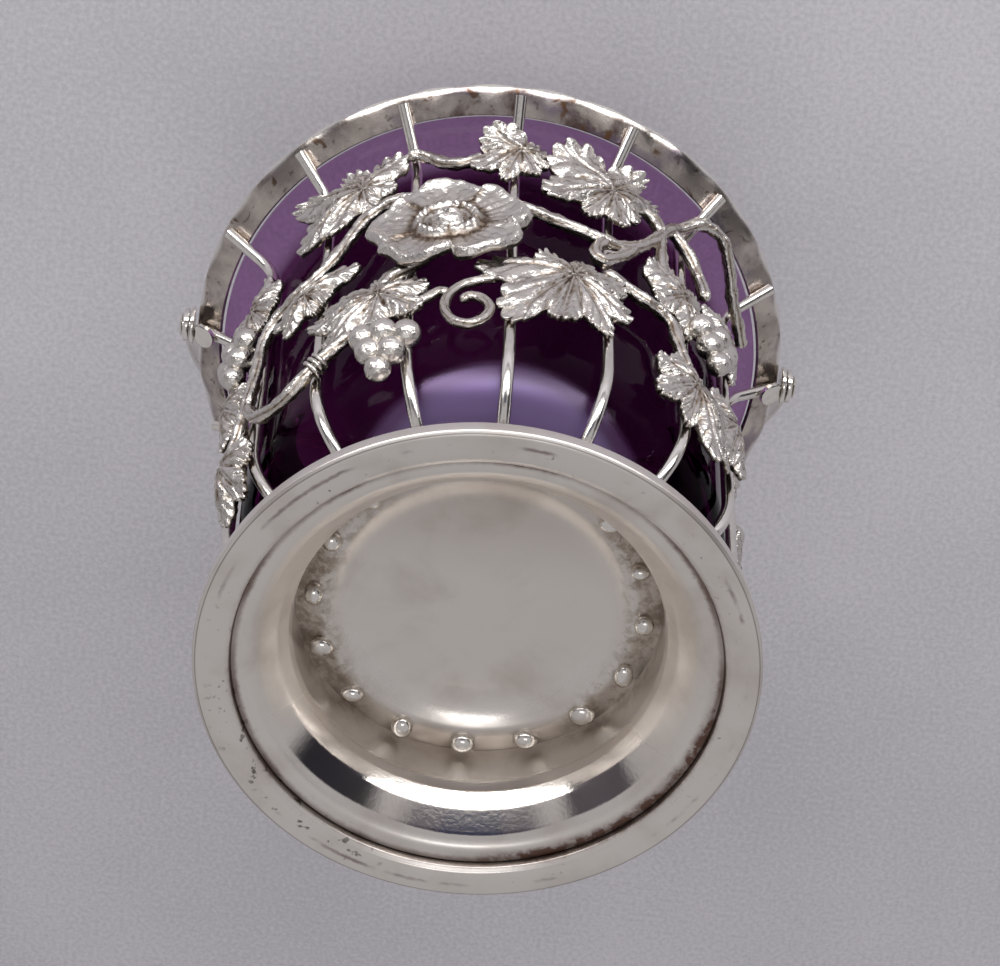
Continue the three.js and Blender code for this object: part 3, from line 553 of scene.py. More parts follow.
foot_under = rounded([
    (FLANGE_END_R, FLANGE_UNDER_Z), (32.3, FLANGE_UNDER_Z), (30.4, 1.65, 2.0), (28.9, 2.95, 4.0),
    (26.6, 5.8, 6.0), (NECK_R + 0.3, 8.0, 0.9), (NECK_R, 9.6, 3.0), (NECK_R, NECK_TOP)], 7)
foot_over = foot_under[::-1] + np.array([FOOT_SHEET * 0.35, FOOT_SHEET * 0.8])
foot_over = np.minimum(foot_over, (FLANGE_END_R, NECK_TOP))
add_bodies("foot_spun", [turned_body([*foot_under, *foot_over])], spun_silver, ["foot"], 40)

# %% [markdown]
# The cage's line is the profile that everything outside the glass is seated on: in along the foot, up the
# wall and out under the collar. Geometry Nodes draws one wire along it and repeats it round the axis,
# because all sixteen are alike and the count is then one number.

# %% The cage's line
WIRE_COUNT, WIRE_R, WIRE_SIDES = 16, 0.9, 14
WIRE_FROM_R, WIRE_FROM_Z = 25.3, 15.61
CAGE = [(21.9, 14.25, 0), (35.0, 19.5, 12.0), (36.4, 78.5, 6.0), (44.65, 83.65, 0)]
SEAT_GAP = 0.3


def grid_faces(rows, columns, closed=False):
    """Quads between rows of points that each close on themselves. Closed joins the last row to the first."""
    return [(i * columns + j, i * columns + (j + 1) % columns,
             (i + 1) % rows * columns + (j + 1) % columns, (i + 1) % rows * columns + j)
            for i in range(rows if closed else rows - 1) for j in range(columns)]


def capped_faces(rows, columns):
    """Those quads with a cap on the first row and one on the last."""
    return grid_faces(rows, columns) + [tuple(range(columns))[::-1],
                                        tuple((rows - 1) * columns + j for j in range(columns))]


class NodeTree:
    """A Geometry Nodes tree in the making. Nodes are called by type, and their first output is handed on."""

    def __init__(self, name, sizes):
        self.tree = bpy.data.node_groups.new(name, "GeometryNodeTree")
        self.tree.is_modifier = True
        sockets = self.tree.interface
        sockets.new_socket("Geometry", in_out="INPUT", socket_type="NodeSocketGeometry")
        sockets.new_socket("Geometry", in_out="OUTPUT", socket_type="NodeSocketGeometry")
        self.sizes = {key: (sockets.new_socket(key, in_out="INPUT", socket_type=(
            "NodeSocketInt" if isinstance(value, int) else "NodeSocketFloat")), value)
            for key, value in sizes.items()}
        self.inlet = self.tree.nodes.new("NodeGroupInput")
        self.outlet = self.tree.nodes.new("NodeGroupOutput")

    def size(self, name):
        return self.inlet.outputs[name]

    def add(self, kind, sockets=None, settings=None, output=0):
        node = self.tree.nodes.new(kind)
        for name, value in (settings or {}).items():
            setattr(node, name, value)
        for name, value in (sockets or {}).items():
            if isinstance(value, bpy.types.NodeSocket):
                self.tree.links.new(value, node.inputs[name])
            else:
                node.inputs[name].default_value = value
        return node.outputs[output]

    def finish(self, geometry, material):
        real = self.add("GeometryNodeRealizeInstances", {"Geometry": geometry})
        smooth = self.add("GeometryNodeSetShadeSmooth", {"Geometry": real})
        done = self.add("GeometryNodeSetMaterial", {"Geometry": smooth, "Material": material})
        self.tree.links.new(done, self.outlet.inputs[0])

    def grown(self, name, mesh):
        """The mesh that the tree makes of a starting mesh, as plain data without the modifier."""
        start = new_object(name + "_start", mesh)
        modifier = start.modifiers.new("nodes", "NODES")
        modifier.node_group = self.tree
        for socket, value in self.sizes.values():
            modifier[socket.identifier] = value
        made = bpy.data.meshes.new_from_object(start.evaluated_get(bpy.context.evaluated_depsgraph_get()))
        made.name = name
        bpy.data.objects.remove(start)
        return made


def turn_about_axis(tree, count):
    """The rotation of each of a count of instances, spread evenly round Z."""
    index = tree.add("GeometryNodeInputIndex")
    share = tree.add("ShaderNodeMath", {0: index, 1: 2 * math.pi}, {"operation": "MULTIPLY"})
    angle = tree.add("ShaderNodeMath", {0: share, 1: count}, {"operation": "DIVIDE"})
    return tree.add("ShaderNodeCombineXYZ", {2: angle})


# %% The wires
def wire_tree():
    tree = NodeTree("cage_wires", {"Wires": WIRE_COUNT, "Radius": WIRE_R * MM})
    line = tree.add("GeometryNodeMeshToCurve", {"Mesh": tree.inlet.outputs["Geometry"]})
    section = tree.add("GeometryNodeCurvePrimitiveCircle", {"Resolution": WIRE_SIDES,
                                                            "Radius": tree.size("Radius")})
    wire = tree.add("GeometryNodeCurveToMesh", {"Curve": line, "Profile Curve": section, "Fill Caps": True})
    spots = tree.add("GeometryNodeMeshLine", {"Count": tree.size("Wires"), "Offset": (0, 0, 0)})
    turn = turn_about_axis(tree, tree.size("Wires"))
    tree.finish(tree.add("GeometryNodeInstanceOnPoints", {"Points": spots, "Instance": wire, "Rotation": turn}),
                drawn_silver)
    return tree


def polyline(name, points):
    mesh = bpy.data.meshes.new(name)
    mesh.from_pydata((np.asarray(points) * MM).tolist(), [(k, k + 1) for k in range(len(points) - 1)], [])
    return mesh


wire_line = [(0.0, -r, z) for r, z in rounded([(WIRE_FROM_R, WIRE_FROM_Z), *CAGE[1:]], 14)]
add_piece("cage_wires", wire_tree().grown("cage_wires", polyline("wire_line", wire_line)),
          [f"wire_{k:02d}" for k in range(1, WIRE_COUNT + 1)])

# %% [markdown]
# The plate that the cup stands on is raised in its middle. The wires end on its flange, and each end shows
# under the foot as a small bright blob of solder. These blobs repeat like the wires do, and a random scale
# makes each one a little different.

# %% Base plate and solder blobs
PLATE_STEP_R, PLATE_ROLL_R, PLATE_UNDER_Z, PLATE_SHEET = 20.9, 17.2, 17.54, 0.7
FLANGE_R, FLANGE_Z, STEP_Z = 25.4, 16.95, 15.15
PLATE_ROLL_FILLET, PLATE_STEP_FILLET = 9.0, 2.2
BLOB_R, BLOB_RING_R, BLOB_Z = 1.4, 22.5, 15.3
BLOB_LEAST, BLOB_MOST, BLOB_SEED = (0.75, 0.75, 0.7), (1.35, 1.35, 1.1), 7
BLOB_SEGMENTS, BLOB_RINGS = 16, 10

plate_under = rounded([(0, PLATE_UNDER_Z), (PLATE_ROLL_R, PLATE_UNDER_Z, PLATE_ROLL_FILLET),
                       (PLATE_STEP_R, STEP_Z, PLATE_STEP_FILLET), (FLANGE_R, FLANGE_Z)], 8)
plate_over = plate_under[::-1] + np.array([0.0, PLATE_SHEET])
plate_over[-1, 0] = 0.0
add_bodies("base_plate_turned", [turned_body([*plate_under, *plate_over])], spun_silver, ["base_plate"], 40)


def blob_tree():
    tree = NodeTree("solder_blobs", {"Blobs": WIRE_COUNT, "Ring radius": BLOB_RING_R * MM,
                                     "Radius": BLOB_R * MM, "Height": BLOB_Z * MM})
    ball = tree.add("GeometryNodeMeshUVSphere", {"Segments": BLOB_SEGMENTS, "Rings": BLOB_RINGS,
                                                 "Radius": tree.size("Radius")})
    ring = tree.add("GeometryNodeMeshCircle", {"Vertices": tree.size("Blobs"),
                                               "Radius": tree.size("Ring radius")})
    lifted = tree.add("ShaderNodeCombineXYZ", {2: tree.size("Height")})
    raised = tree.add("GeometryNodeSetPosition", {"Geometry": ring, "Offset": lifted})
    scale = tree.add("FunctionNodeRandomValue", {0: BLOB_LEAST, 1: BLOB_MOST, "Seed": BLOB_SEED},
                     {"data_type": "FLOAT_VECTOR"})
    tree.finish(tree.add("GeometryNodeInstanceOnPoints", {"Points": raised, "Instance": ball, "Scale": scale}),
                drawn_silver)
    return tree


blobs = new_object("solder_blobs", blob_tree().grown("solder_blobs", polyline("blob_start", [(0, 0, 0)])))
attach(blobs, "basket")
print("solder blobs", WIRE_COUNT)

# %% [markdown]
# The collar is a flared band with a scalloped edge, two scallops to each wire. It is a turned piece whose
# outer ring of points is lifted by a cosine, which keeps the scallops in step with the wires.

# %% Collar
COLLAR_R, COLLAR_Z = 45.2, 85.4
COLLAR_FLARE, COLLAR_WIDTH, COLLAR_SHEET = math.radians(31.9), 4.3, 0.7
SCALLOPS_PER_WIRE, SCALLOP_HEIGHT, SCALLOP_STEPS = 2, 0.6, 12

flare = np.array([math.cos(COLLAR_FLARE), math.sin(COLLAR_FLARE)])
above = np.array([-flare[1], flare[0]])
edge = np.array([COLLAR_R, COLLAR_Z])
inner_edge = edge - flare * COLLAR_WIDTH
collar_profile = [inner_edge, inner_edge + flare * 1.4, edge - flare * 1.2, edge - flare * 0.25 + above * 0.02,
                  edge + above * 0.2, edge + above * 0.5, edge - flare * 0.25 + above * 0.68,
                  edge - flare * 1.2 + above * COLLAR_SHEET, inner_edge + above * COLLAR_SHEET]


def scallops(azimuth, r, z):
    share = np.clip((r - inner_edge[0]) / (COLLAR_R - inner_edge[0]), 0, 1) ** 2
    return share * SCALLOP_HEIGHT * (1 - np.cos(azimuth * WIRE_COUNT * SCALLOPS_PER_WIRE)) / 2


collar_steps = WIRE_COUNT * SCALLOPS_PER_WIRE * SCALLOP_STEPS
add_bodies("collar_scalloped", [turned_body(collar_profile, collar_steps, scallops)], collar_silver,
           ["collar"], 50)

# %% [markdown]
# The cup follows the cage's line one clearance inside it and flares to a lip under the collar. Its lip is
# rounded, as a fire-polished edge is, and it rides on its own body because it lifts out.

# %% Glass cup
LINER_GAP, GLASS_WALL, GLASS_FLOOR = 0.4, 2.2, 2.6
LINER_FLOOR_Z, LINER_LIP_R = 18.54, 40.78
CUP_FLOOR_FILLET, CUP_LIP_FILLET, LIP_ROUND, CUP_STEPS = 11.5, 7.3, 0.35, 192

cage_inside = shifted(CAGE, WIRE_R + LINER_GAP)
low, high, end = cage_inside[1:]
lip_share = (LINER_LIP_R - high[0]) / (end[0] - high[0])
lip_z = high[1] + (end[1] - high[1]) * lip_share
wall_foot_r = low[0] + (high[0] - low[0]) / (high[1] - low[1]) * (LINER_FLOOR_Z - low[1])
cup_outer = [(0, LINER_FLOOR_Z, 0), (wall_foot_r, LINER_FLOOR_Z, CUP_FLOOR_FILLET),
             (high[0], high[1], CUP_LIP_FILLET),
             (LINER_LIP_R, lip_z, 0)]
cup_inner = shifted(cup_outer, GLASS_WALL)
cup_inner[0] = (0, LINER_FLOOR_Z + GLASS_FLOOR, 0)
cup_inner[1] = (cup_inner[1][0], LINER_FLOOR_Z + GLASS_FLOOR, cup_inner[1][2])
lip_out, lip_in = np.array(cup_outer[-1][:2]), np.array(cup_inner[-1][:2])
lip_up = (lip_out + lip_in) / 2 - np.array([lip_out[1] - lip_in[1], lip_in[0] - lip_out[0]]) * LIP_ROUND
cup_profile = [*rounded(cup_outer, 14), lip_out * 0.55 + lip_up * 0.45, lip_up,
               lip_in * 0.55 + lip_up * 0.45, *rounded(cup_inner, 14)[::-1]]
add_bodies("glass_cup", [turned_body(cup_profile, CUP_STEPS)], amethyst_glass, ["liner"], 60, "liner")

# %% [markdown]
# Places on the vine are an azimuth, a length up the cage's outside and a height off it. Seat turns such
# places into points, so that every leaf is drawn flat and then wrapped round the cage.

# %% The seat of the vine
class Seat:
    def __init__(self, corners):
        line = rounded(shifted(corners, -(WIRE_R + SEAT_GAP)), 24)
        self.line = np.vstack([line, line[-1] + unit(line[-1] - line[-2]) * 10])
        self.lengths = np.concatenate([[0], np.cumsum(np.linalg.norm(np.diff(self.line, axis=0), axis=1))])
        along = unit(np.gradient(self.line, axis=0))
        self.outward = np.column_stack([along[:, 1], -along[:, 0]])

    def up(self, z):
        return np.interp(z, self.line[:, 1], self.lengths)

    def at(self, azimuth, length, height):
        r, z = [np.interp(length, self.lengths, self.line[:, k]) for k in range(2)]
        nr, nz = [np.interp(length, self.lengths, self.outward[:, k]) for k in range(2)]
        r, z = r + nr * height, z + nz * height
        return np.stack([r * np.sin(azimuth), -r * np.cos(azimuth), z], axis=-1)


seat = Seat(CAGE)
WALL_R = 36.9

# %% [markdown]
# A vine leaf is drawn from its lobes: the direction of each main vein and how far it reaches. The outline
# falls from a tip to the cut between two lobes, with teeth that point at the tip. The surface is a dome
# with a furrow and a thin rib along each main vein, side veins that branch from it, and rims that curl.
# Low waves that cross each other make it look worked with a punch.

# %% Leaves
LEAF_SPOKES, LEAF_RINGS = 360, 24
LEAF_CUT, LEAF_CUT_MOST = 0.64, 1.25
LEAF_TEETH, TOOTH_DEPTH = 3, 0.15
LEAF_MIDDLE, LEAF_RIM, LEAF_SHEET, LEAF_LEAST = 2.4, 0.7, 0.8, 0.45
PUFF, FURROW, RIB, SIDE_VEIN, CURL, HAMMER = 0.3, 0.34, 0.24, 0.12, 0.8, 0.09
FURROW_WIDTH, RIB_WIDTH, VEIN_FREE = 0.42, 0.17, 0.9


def smooth(x, start=0.0, width=1.0):
    """0 up to a start and 1 from a width beyond it, with a soft step between."""
    x = np.clip((x - start) / width, 0, 1)
    return x * x * (3 - 2 * x)


def bell(x, width):
    return np.exp(-(x / width) ** 2)


def hammered(x, y, seed):
    """Low waves of several lengths that cross each other, about -1 to 1."""
    waves = ((2.3, 1.1, 1), (-2.6, 1.7, 2), (4.1, 3.3, 3), (-3.1, 4.9, 5))
    return sum(np.sin(across * x + up * y + k * seed) for across, up, k in waves) / 2.6


def leaf_lobes(lobes):
    """For every spoke: its angle, how far it is from its vein to the cut (0 to 1), the angle to its vein,
    its lobe's number and reach, and the reach of the cut."""
    lobes = sorted(lobes)
    tips = np.array([a for a, _ in lobes], float)
    reach = np.array([r for _, r in lobes], float)
    spoke = tips[0] + np.arange(LEAF_SPOKES) * 360 / LEAF_SPOKES
    ends = np.append(tips[1:], tips[0] + 360)
    k = np.searchsorted(tips, spoke, side="right") - 1
    following = (k + 1) % len(lobes)
    gap = ends[k] - tips[k]
    t = (spoke - tips[k]) / gap
    near = t < 0.5
    from_vein = np.where(near, t, 1 - t) * 2
    own = np.where(near, reach[k], reach[following])
    both = np.minimum(reach[k], reach[following])
    cut = LEAF_CUT * np.minimum((reach[k] + reach[following]) / 2, LEAF_CUT_MOST * both)
    return np.radians(spoke), from_vein, np.radians(from_vein * gap / 2), np.where(near, k, following), own, cut


def polar_casting(azimuth, z, spoke, radii, heights, shade, middle):
    """A closed casting seated at a place, from rings of points that run from the middle to the rim."""
    back_radii, back_heights = radii[::-3], np.maximum(heights[::-3] - LEAF_SHEET, -0.05)
    rows, columns = len(radii) + len(back_radii), len(spoke)
    r, h = np.vstack([radii, back_radii]), np.vstack([heights, back_heights])
    azimuth, up = math.radians(azimuth), seat.up(z)
    points = seat.at(azimuth + r * np.cos(spoke) / WALL_R, up + r * np.sin(spoke), h).reshape(-1, 3)
    front = seat.at(azimuth, up, middle)
    back = seat.at(azimuth, up, max(middle - LEAF_SHEET, 0.3))
    last = (rows - 1) * columns
    faces = grid_faces(rows, columns)
    for j in range(columns):
        n = (j + 1) % columns
        faces += [(j, n, rows * columns), (last + n, last + j, rows * columns + 1)]
    hollow = np.concatenate([shade.ravel(), np.full(back_radii.size, 0.8), [shade[0].mean(), 1.0]])
    return Body(np.vstack([points, front, back]), faces, hollow)


def leaf_body(azimuth, z, lobes, seed=0):
    """In a leaf, rho runs from the middle to the rim, and q from a main vein to the cut between two lobes."""
    spoke, q, angle, lobe, own, cut = leaf_lobes(lobes)
    rho = 1 - (1 - np.linspace(0, 1, LEAF_RINGS)[1:, None]) ** 1.2
    teeth = LEAF_TEETH * (q + 0.85 * (1 - rho))
    tooth = np.sin(math.pi * np.mod(teeth, 1))
    margin = cut + (own - cut) * (0.9 * (1 - q ** 1.9) + 0.1 * bell(q, 0.16))
    share = smooth(rho, 0.66, 0.34)
    r = rho * margin * (1 + share * (0.03 - TOOTH_DEPTH * (1 - np.sqrt(tooth)) * (1 - 0.35 * q)))
    aside = r * np.abs(np.sin(angle))
    size = (own / 10)[None, :]
    dome = LEAF_RIM + (LEAF_MIDDLE - LEAF_RIM) * (1 - rho ** 1.8)
    puff = PUFF * size * np.sin(math.pi * q) * np.sin(math.pi * rho ** 0.9)
    vein = bell(aside, FURROW_WIDTH) * (1 - rho ** 4)
    rib = bell(aside, RIB_WIDTH) * (1 - rho ** 3)
    side_share = smooth(aside, 0, VEIN_FREE)
    side = tooth ** 1.6 * (0.6 + 0.4 * rho)
    fine = 0.5 + 0.5 * np.cos(6 * math.pi * teeth)
    wave = np.sin(lobe * 2.4 + seed * 1.7)[None, :]
    tip = np.cos(math.pi * q / 2)[None, :] ** 2
    lift = CURL * size * rho ** 5 * (tip * (0.4 + 0.8 * wave) + (1 - tip) * 0.15)
    lift = lift + 0.42 * size * rho ** 7 * (tooth - 0.4)
    lift = lift + 0.35 * size * rho ** 3 * np.sin(spoke * 5 + seed)[None, :]
    height = dome + puff - FURROW * vein + RIB * rib + side_share * (SIDE_VEIN * side + 0.03 * fine) + lift
    chased = hammered(r * np.cos(spoke), r * np.sin(spoke), seed)
    height = np.maximum(height + HAMMER * chased * side_share, LEAF_LEAST)
    hollow = vein * 0.9 - rib * 0.8 + side_share * 0.32 * (1 - side) * (0.4 + 0.6 * rho)
    hollow = hollow + 0.5 * smooth(q, 0.7, 0.3)[None, :] * (1 - rho ** 3) + (1 - rho) * 0.2 - 0.25 * chased
    hollow = np.clip(hollow, 0, 1)
    return polar_casting(azimuth, z, spoke, r, height, hollow, LEAF_MIDDLE - 0.15)


LEAVES = {
    "leaf_rim_left": (-33, 71, [(55, 10), (-5, 4.5), (-88, 4.8), (-127, 9.5), (-160, 12.8), (145, 14.2),
        (112, 9)]),
    "leaf_rim_middle": (1, 76.2, [(128, 7.2), (24, 4.2), (-22, 4.4), (-62, 5.6), (-110, 7), (-138, 8.4)]),
    "leaf_rim_right": (21.5, 71.5, [(130, 12.4), (-150, 11.2), (-116, 7.8), (-77, 7.8), (-20, 5.4), (34, 9.8),
        (64, 10.4)]),
    "leaf_middle": (12.5, 42.5, [(174, 13.2), (-124, 15), (-98, 12.6), (-57, 11.2), (-27, 9.8), (29, 9.4),
        (72, 7.4), (125, 7.4)]),
    "leaf_left": (-46, 48.5, [(22, 8.6), (-30, 4.6), (-85, 3.4), (-140, 6.5), (-177, 7), (70, 3.4)]),
    "leaf_over_grapes": (-27.5, 38, [(21, 6.9), (95, 5.4), (150, 11), (-178, 10.8), (-148, 11.4), (-108, 6.2),
        (-39, 7.2)]),
    "leaf_low_right": (43, 33, [(105, 7.4), (170, 6.6), (-130, 9), (-92, 8.4), (-60, 11.6), (-24, 12.6),
        (15, 9), (55, 6.5)]),
    "leaf_low_left": (-73, 27, [(60, 5.5), (120, 6.5), (180, 6), (232, 8), (285, 7.5), (345, 6)]),
}
HALVES = {"front": 0.0, "back": math.pi}


def add_halves(name, bodies):
    """Adds a casting to the front, and the same one turned half round to the back."""
    for half, turn in HALVES.items():
        add_bodies(f"vine_{name}_{half}", [b.turned(turn) for b in bodies], cast_silver, [f"{name}_{half}"])


for number, (name, leaf) in enumerate(LEAVES.items()):
    add_halves(name, [leaf_body(*leaf, seed=number)])

# %% [markdown]
# Grapes are plain balls, no two quite alike. Geometry Nodes puts one on each point of the bunch, so the
# bunch itself is only a rule for rows that shorten towards the tip. At each side of the cage small leaves crowd
# round a bunch of their own, and here such a spray is three leaves and its bunch.

# %% Grapes and sprays
GRAPE_R, GRAPE_PITCH, GRAPE_ROW_PITCH, GRAPE_ROWS = 2.0, 3.0, 2.6, 3
GRAPE_LEAST, GRAPE_MOST, GRAPE_SEED = 0.86, 1.04, 3
GRAPE_SEGMENTS, GRAPE_RINGS = 24, 16
BUNCH = (-25.5, 26.5, -14)
SPRAYS = {
    "grape_spray_right": ([
        (39.5, 54, [(134, 7.5), (96, 9), (55, 8), (5, 7), (-60, 6.5), (-130, 5.5)]),
        (57.5, 59.5, [(150, 6), (95, 6.5), (35, 6.8), (-30, 6.4), (-85, 7.2), (-150, 5)]),
        (59, 37, [(130, 6.5), (70, 6), (10, 6), (-50, 7.5), (-95, 9), (-150, 5.5)])], (50, 51, 8)),
    "grape_spray_left": ([
        (-65, 61, [(80, 9), (42, 6), (-25, 5), (-70, 4.5), (-124, 9), (200, 6), (122, 7.5)]),
        (-78.5, 66, [(140, 5), (80, 5.6), (20, 5), (-50, 6.4), (-110, 7.4), (-170, 6)]),
        (-77, 46, [(115, 7), (60, 5.5), (0, 5), (-60, 6), (-105, 7.6), (-165, 5.8)])], (-71, 54.5, -8)),
}
SPRAY_SEEDS = (9, 14, 17)


def bunch_points(azimuth, z, tilt):
    c, s = math.cos(math.radians(tilt)), math.sin(math.radians(tilt))
    points = []
    for row in range(GRAPE_ROWS):
        count = GRAPE_ROWS - row
        for k in range(count):
            across, down = (k - (count - 1) / 2) * GRAPE_PITCH, row * GRAPE_ROW_PITCH
            proud = 0.6 if 0 < k < count - 1 else 0.1 * row
            points.append(seat.at(math.radians(azimuth) + (across * c + down * s) / WALL_R,
                                  seat.up(z) + across * s - down * c, GRAPE_R + proud))
    return np.array(points)


def grape_tree():
    tree = NodeTree("grapes", {"Radius": GRAPE_R * MM})
    ball = tree.add("GeometryNodeMeshUVSphere", {"Segments": GRAPE_SEGMENTS, "Rings": GRAPE_RINGS,
                                                 "Radius": tree.size("Radius")})
    scale = tree.add("FunctionNodeRandomValue", {2: GRAPE_LEAST, 3: GRAPE_MOST, "Seed": GRAPE_SEED},
                     {"data_type": "FLOAT"}, output=1)
    tree.finish(tree.add("GeometryNodeInstanceOnPoints", {
        "Points": tree.inlet.outputs["Geometry"], "Instance": ball, "Scale": scale}), cast_silver)
    return tree


grapes_of = grape_tree()


def add_bunch(name, bunch, turn, stands_for):
    points = polyline(name + "_points", bunch_points(*bunch) @ about_z(turn))
    add_piece(name, grapes_of.grown(name, points), [stands_for])


spray_leaves = {name: [leaf_body(*leaf, seed=seed + number) for leaf, seed in zip(leaves, SPRAY_SEEDS)]
                for number, (name, (leaves, _)) in enumerate(SPRAYS.items())}
for half, turn in HALVES.items():
    add_bunch(f"vine_grapes_{half}", BUNCH, turn, f"grape_bunch_{half}")
    for name, (_, bunch) in SPRAYS.items():
        add_bodies(f"vine_{name}_leaf_{half}", [leaf.turned(turn) for leaf in spray_leaves[name]], cast_silver,
                   [f"{name}_{half}"])
        add_bunch(f"vine_{name}_grapes_{half}", bunch, turn, f"{name}_{half}")

# %% [markdown]
# The flower is a shallow cup of five petals round a button. Each petal is a spoon with a rolled rim, and
# one side of it lies over the next petal. A polar grid gives all of this with one height for each point.

# %% Flower
FLOWER = (-13.5, 52.8, 23)
FLOWER_R, PETALS, FLOWER_WAIST = 10.8, 5, 0.84
FLOWER_SPOKES, FLOWER_RINGS, FLOWER_BASE = 300, 40, 2.1
BUTTON_R, INNER_RING_R, RING_R = 2.3, 2.85, 3.75
BUTTON_HEIGHT, INNER_RING_HEIGHT, RING_HEIGHT = 1.55, 0.5, 1.1
PETAL_FROM, ROLLED_RIM = 0.42, 0.925


def flower_body():
    """In the flower, rho runs from the middle to the rim, and around from -0.5 to 0.5 across one petal."""
    azimuth, z, turn = FLOWER
    spoke = np.arange(FLOWER_SPOKES) * 2 * math.pi / FLOWER_SPOKES
    petals = (spoke - math.radians(turn)) * PETALS / (2 * math.pi)
    around = np.mod(petals + 0.5, 1) - 0.5
    petal, number = np.abs(np.cos(math.pi * around)), np.round(petals)
    reach = FLOWER_R * (FLOWER_WAIST + (1 - FLOWER_WAIST) * np.sqrt(petal)) * (
        1 + 0.025 * np.sin(9 * spoke) + 0.02 * np.sin(14 * spoke + 1))
    rho = np.linspace(0, 1, FLOWER_RINGS)[1:, None]
    r = rho * reach
    dish = FLOWER_BASE + 1.0 + 0.7 * smooth(rho, PETAL_FROM, 0.5) - 0.5 * smooth(rho, 0.95, 0.05)
    rolled = 0.6 * bell(rho - ROLLED_RIM, 0.05) * (0.75 + 0.25 * np.sin(spoke * 11 + number))
    spoon = -0.4 * petal ** 2 * np.sin(math.pi * np.clip((rho - 0.4) / 0.58, 0, 1))
    overlap = 0.35 * around * smooth(rho, PETAL_FROM, 0.3) * np.ones_like(r)
    ripple = 0.05 * np.sin(34 * spoke) * smooth(rho, 0.38, 0.2) * (1 - smooth(rho, 0.75, 0.2))
    wave = 0.4 * np.sin(spoke * 7 + number * 2.2) * smooth(rho, 0.7, 0.3)
    wave = wave + 0.08 * hammered(r * np.cos(spoke), r * np.sin(spoke), 4) * smooth(rho, 0.45, 0.1)
    ring = RING_HEIGHT * bell(r - RING_R, 0.5) * (1 + 0.12 * np.sin(22 * spoke + 3 * r))
    ring = ring + INNER_RING_HEIGHT * bell(r - INNER_RING_R, 0.25)
    button = BUTTON_HEIGHT * np.clip(1 - (r / BUTTON_R) ** 4, 0, 1)
    button = button * (1 + 0.1 * np.sin(3 * spoke + 1.1 * r) + 0.07 * np.sin(5 * spoke))
    height = dish + spoon + overlap + ripple + wave + rolled + ring + button
    grooves = 0.75 * bell(r - 4.9, 0.8) + 0.8 * bell(r - 3.1, 0.3) + 0.8 * bell(r - 2.4, 0.25)
    seams = 0.4 * smooth(0.12 - np.abs(np.abs(around) - 0.5), 0, 0.12)
    hollow = np.clip(grooves + seams + 0.35 * np.sin(math.pi * np.clip((rho - 0.4) / 0.5, 0, 1)) - rolled, 0, 1)
    return polar_casting(azimuth, z, spoke, r, height, hollow, FLOWER_BASE + 2.7)


add_halves("flower", [flower_body()])

# %% [markdown]
# Stems are tubes along a smooth line through a few places on the cage. Cast bark has lengthwise ridges,
# knots and chips, which are made by varying the radius, and the ends are rounded. A thread is wound three
# times round the low branch.

# %% Stems
STEM_R, TENDRIL_R, STEM_BARK, TENDRIL_BARK = 0.9, 0.7, 0.22, 0.06
STEM_SIDES, STEM_STEP = 16, 0.45
KNOT_PITCH, KNOT_AT, KNOT_HALF = 8.3, 4.0, 0.7
TIE_LOOPS, TIE_R, THREAD_R, TIE_STEPS, THREAD_SIDES = 3, 1.25, 0.32, 28, 8


def smooth_line(points, step):
    """A centripetal Catmull-Rom line through points, sampled about every step."""
    p = np.vstack([2 * points[0] - points[1], points, 2 * points[-1] - points[-2]])
    spans = (((0, 1), (1, 2), (2, 3)), ((0, 2), (1, 3)), ((1, 2),))
    line = []
    for four in zip(p, p[1:], p[2:], p[3:]):
        lengths = [np.linalg.norm(b - a) for a, b in zip(four, four[1:])]
        t = np.concatenate([[0.0], np.cumsum(np.sqrt(lengths))])
        for now in np.linspace(t[1], t[2], max(2, int(lengths[1] / step)), endpoint=False):
            blend = four
            for span in spans:
                blend = [(t[b] - now) / (t[b] - t[a]) * first + (now - t[a]) / (t[b] - t[a]) * second
                         for (a, b), first, second in zip(span, blend, blend[1:])]
            line.append(blend[0])
    return np.array([*line, points[-1]])


def square_to(along, points):
    """Two unit vectors square to a line at its points: away from the axis, and to the side."""
    out = points * np.array([1, 1, 0])
    out = unit(out - np.sum(out * along, axis=-1, keepdims=True) * along)
    return out, np.cross(along, out)


def tube_body(line, radius, bark, seed):
    along = unit(np.gradient(line, axis=0))
    out, aside = square_to(along, line)
    s = np.concatenate([[0], np.cumsum(np.linalg.norm(np.diff(line, axis=0), axis=1))])
    ends = np.sqrt(np.clip(1 - (1 - np.clip(np.minimum(s, s[-1] - s) / radius, 0, 1)) ** 2, 0.02, 1))
    s, phi = s[:, None], np.arange(STEM_SIDES)[None, :] * 2 * math.pi / STEM_SIDES
    ridges = np.sin(5 * phi + np.sin(s * 0.55 + seed) * 1.3)
    knots = 0.5 * np.sin(s * 0.9 + seed * 2) + 0.5 * np.sin(s * 2.3 + seed)
    knots = knots + 1.1 * bell(np.mod(s + seed * 3.1, KNOT_PITCH) - KNOT_AT, KNOT_HALF)
    chips = np.sin(s * 3.7 + seed) * np.sin(3 * phi + s * 1.3)
    size = radius * ends[:, None] * (1 + bark * (0.55 * ridges + 0.6 * knots + 0.5 * chips))
    points = (line[:, None, :] + size[..., None] * (np.cos(phi)[..., None] * out[:, None, :]
                                                    + np.sin(phi)[..., None] * aside[:, None, :]))
    hollow = np.clip(0.45 - 0.55 * ridges - 0.25 * np.cos(phi), 0, 1)
    return Body(points.reshape(-1, 3), capped_faces(len(line), STEM_SIDES), hollow.ravel())


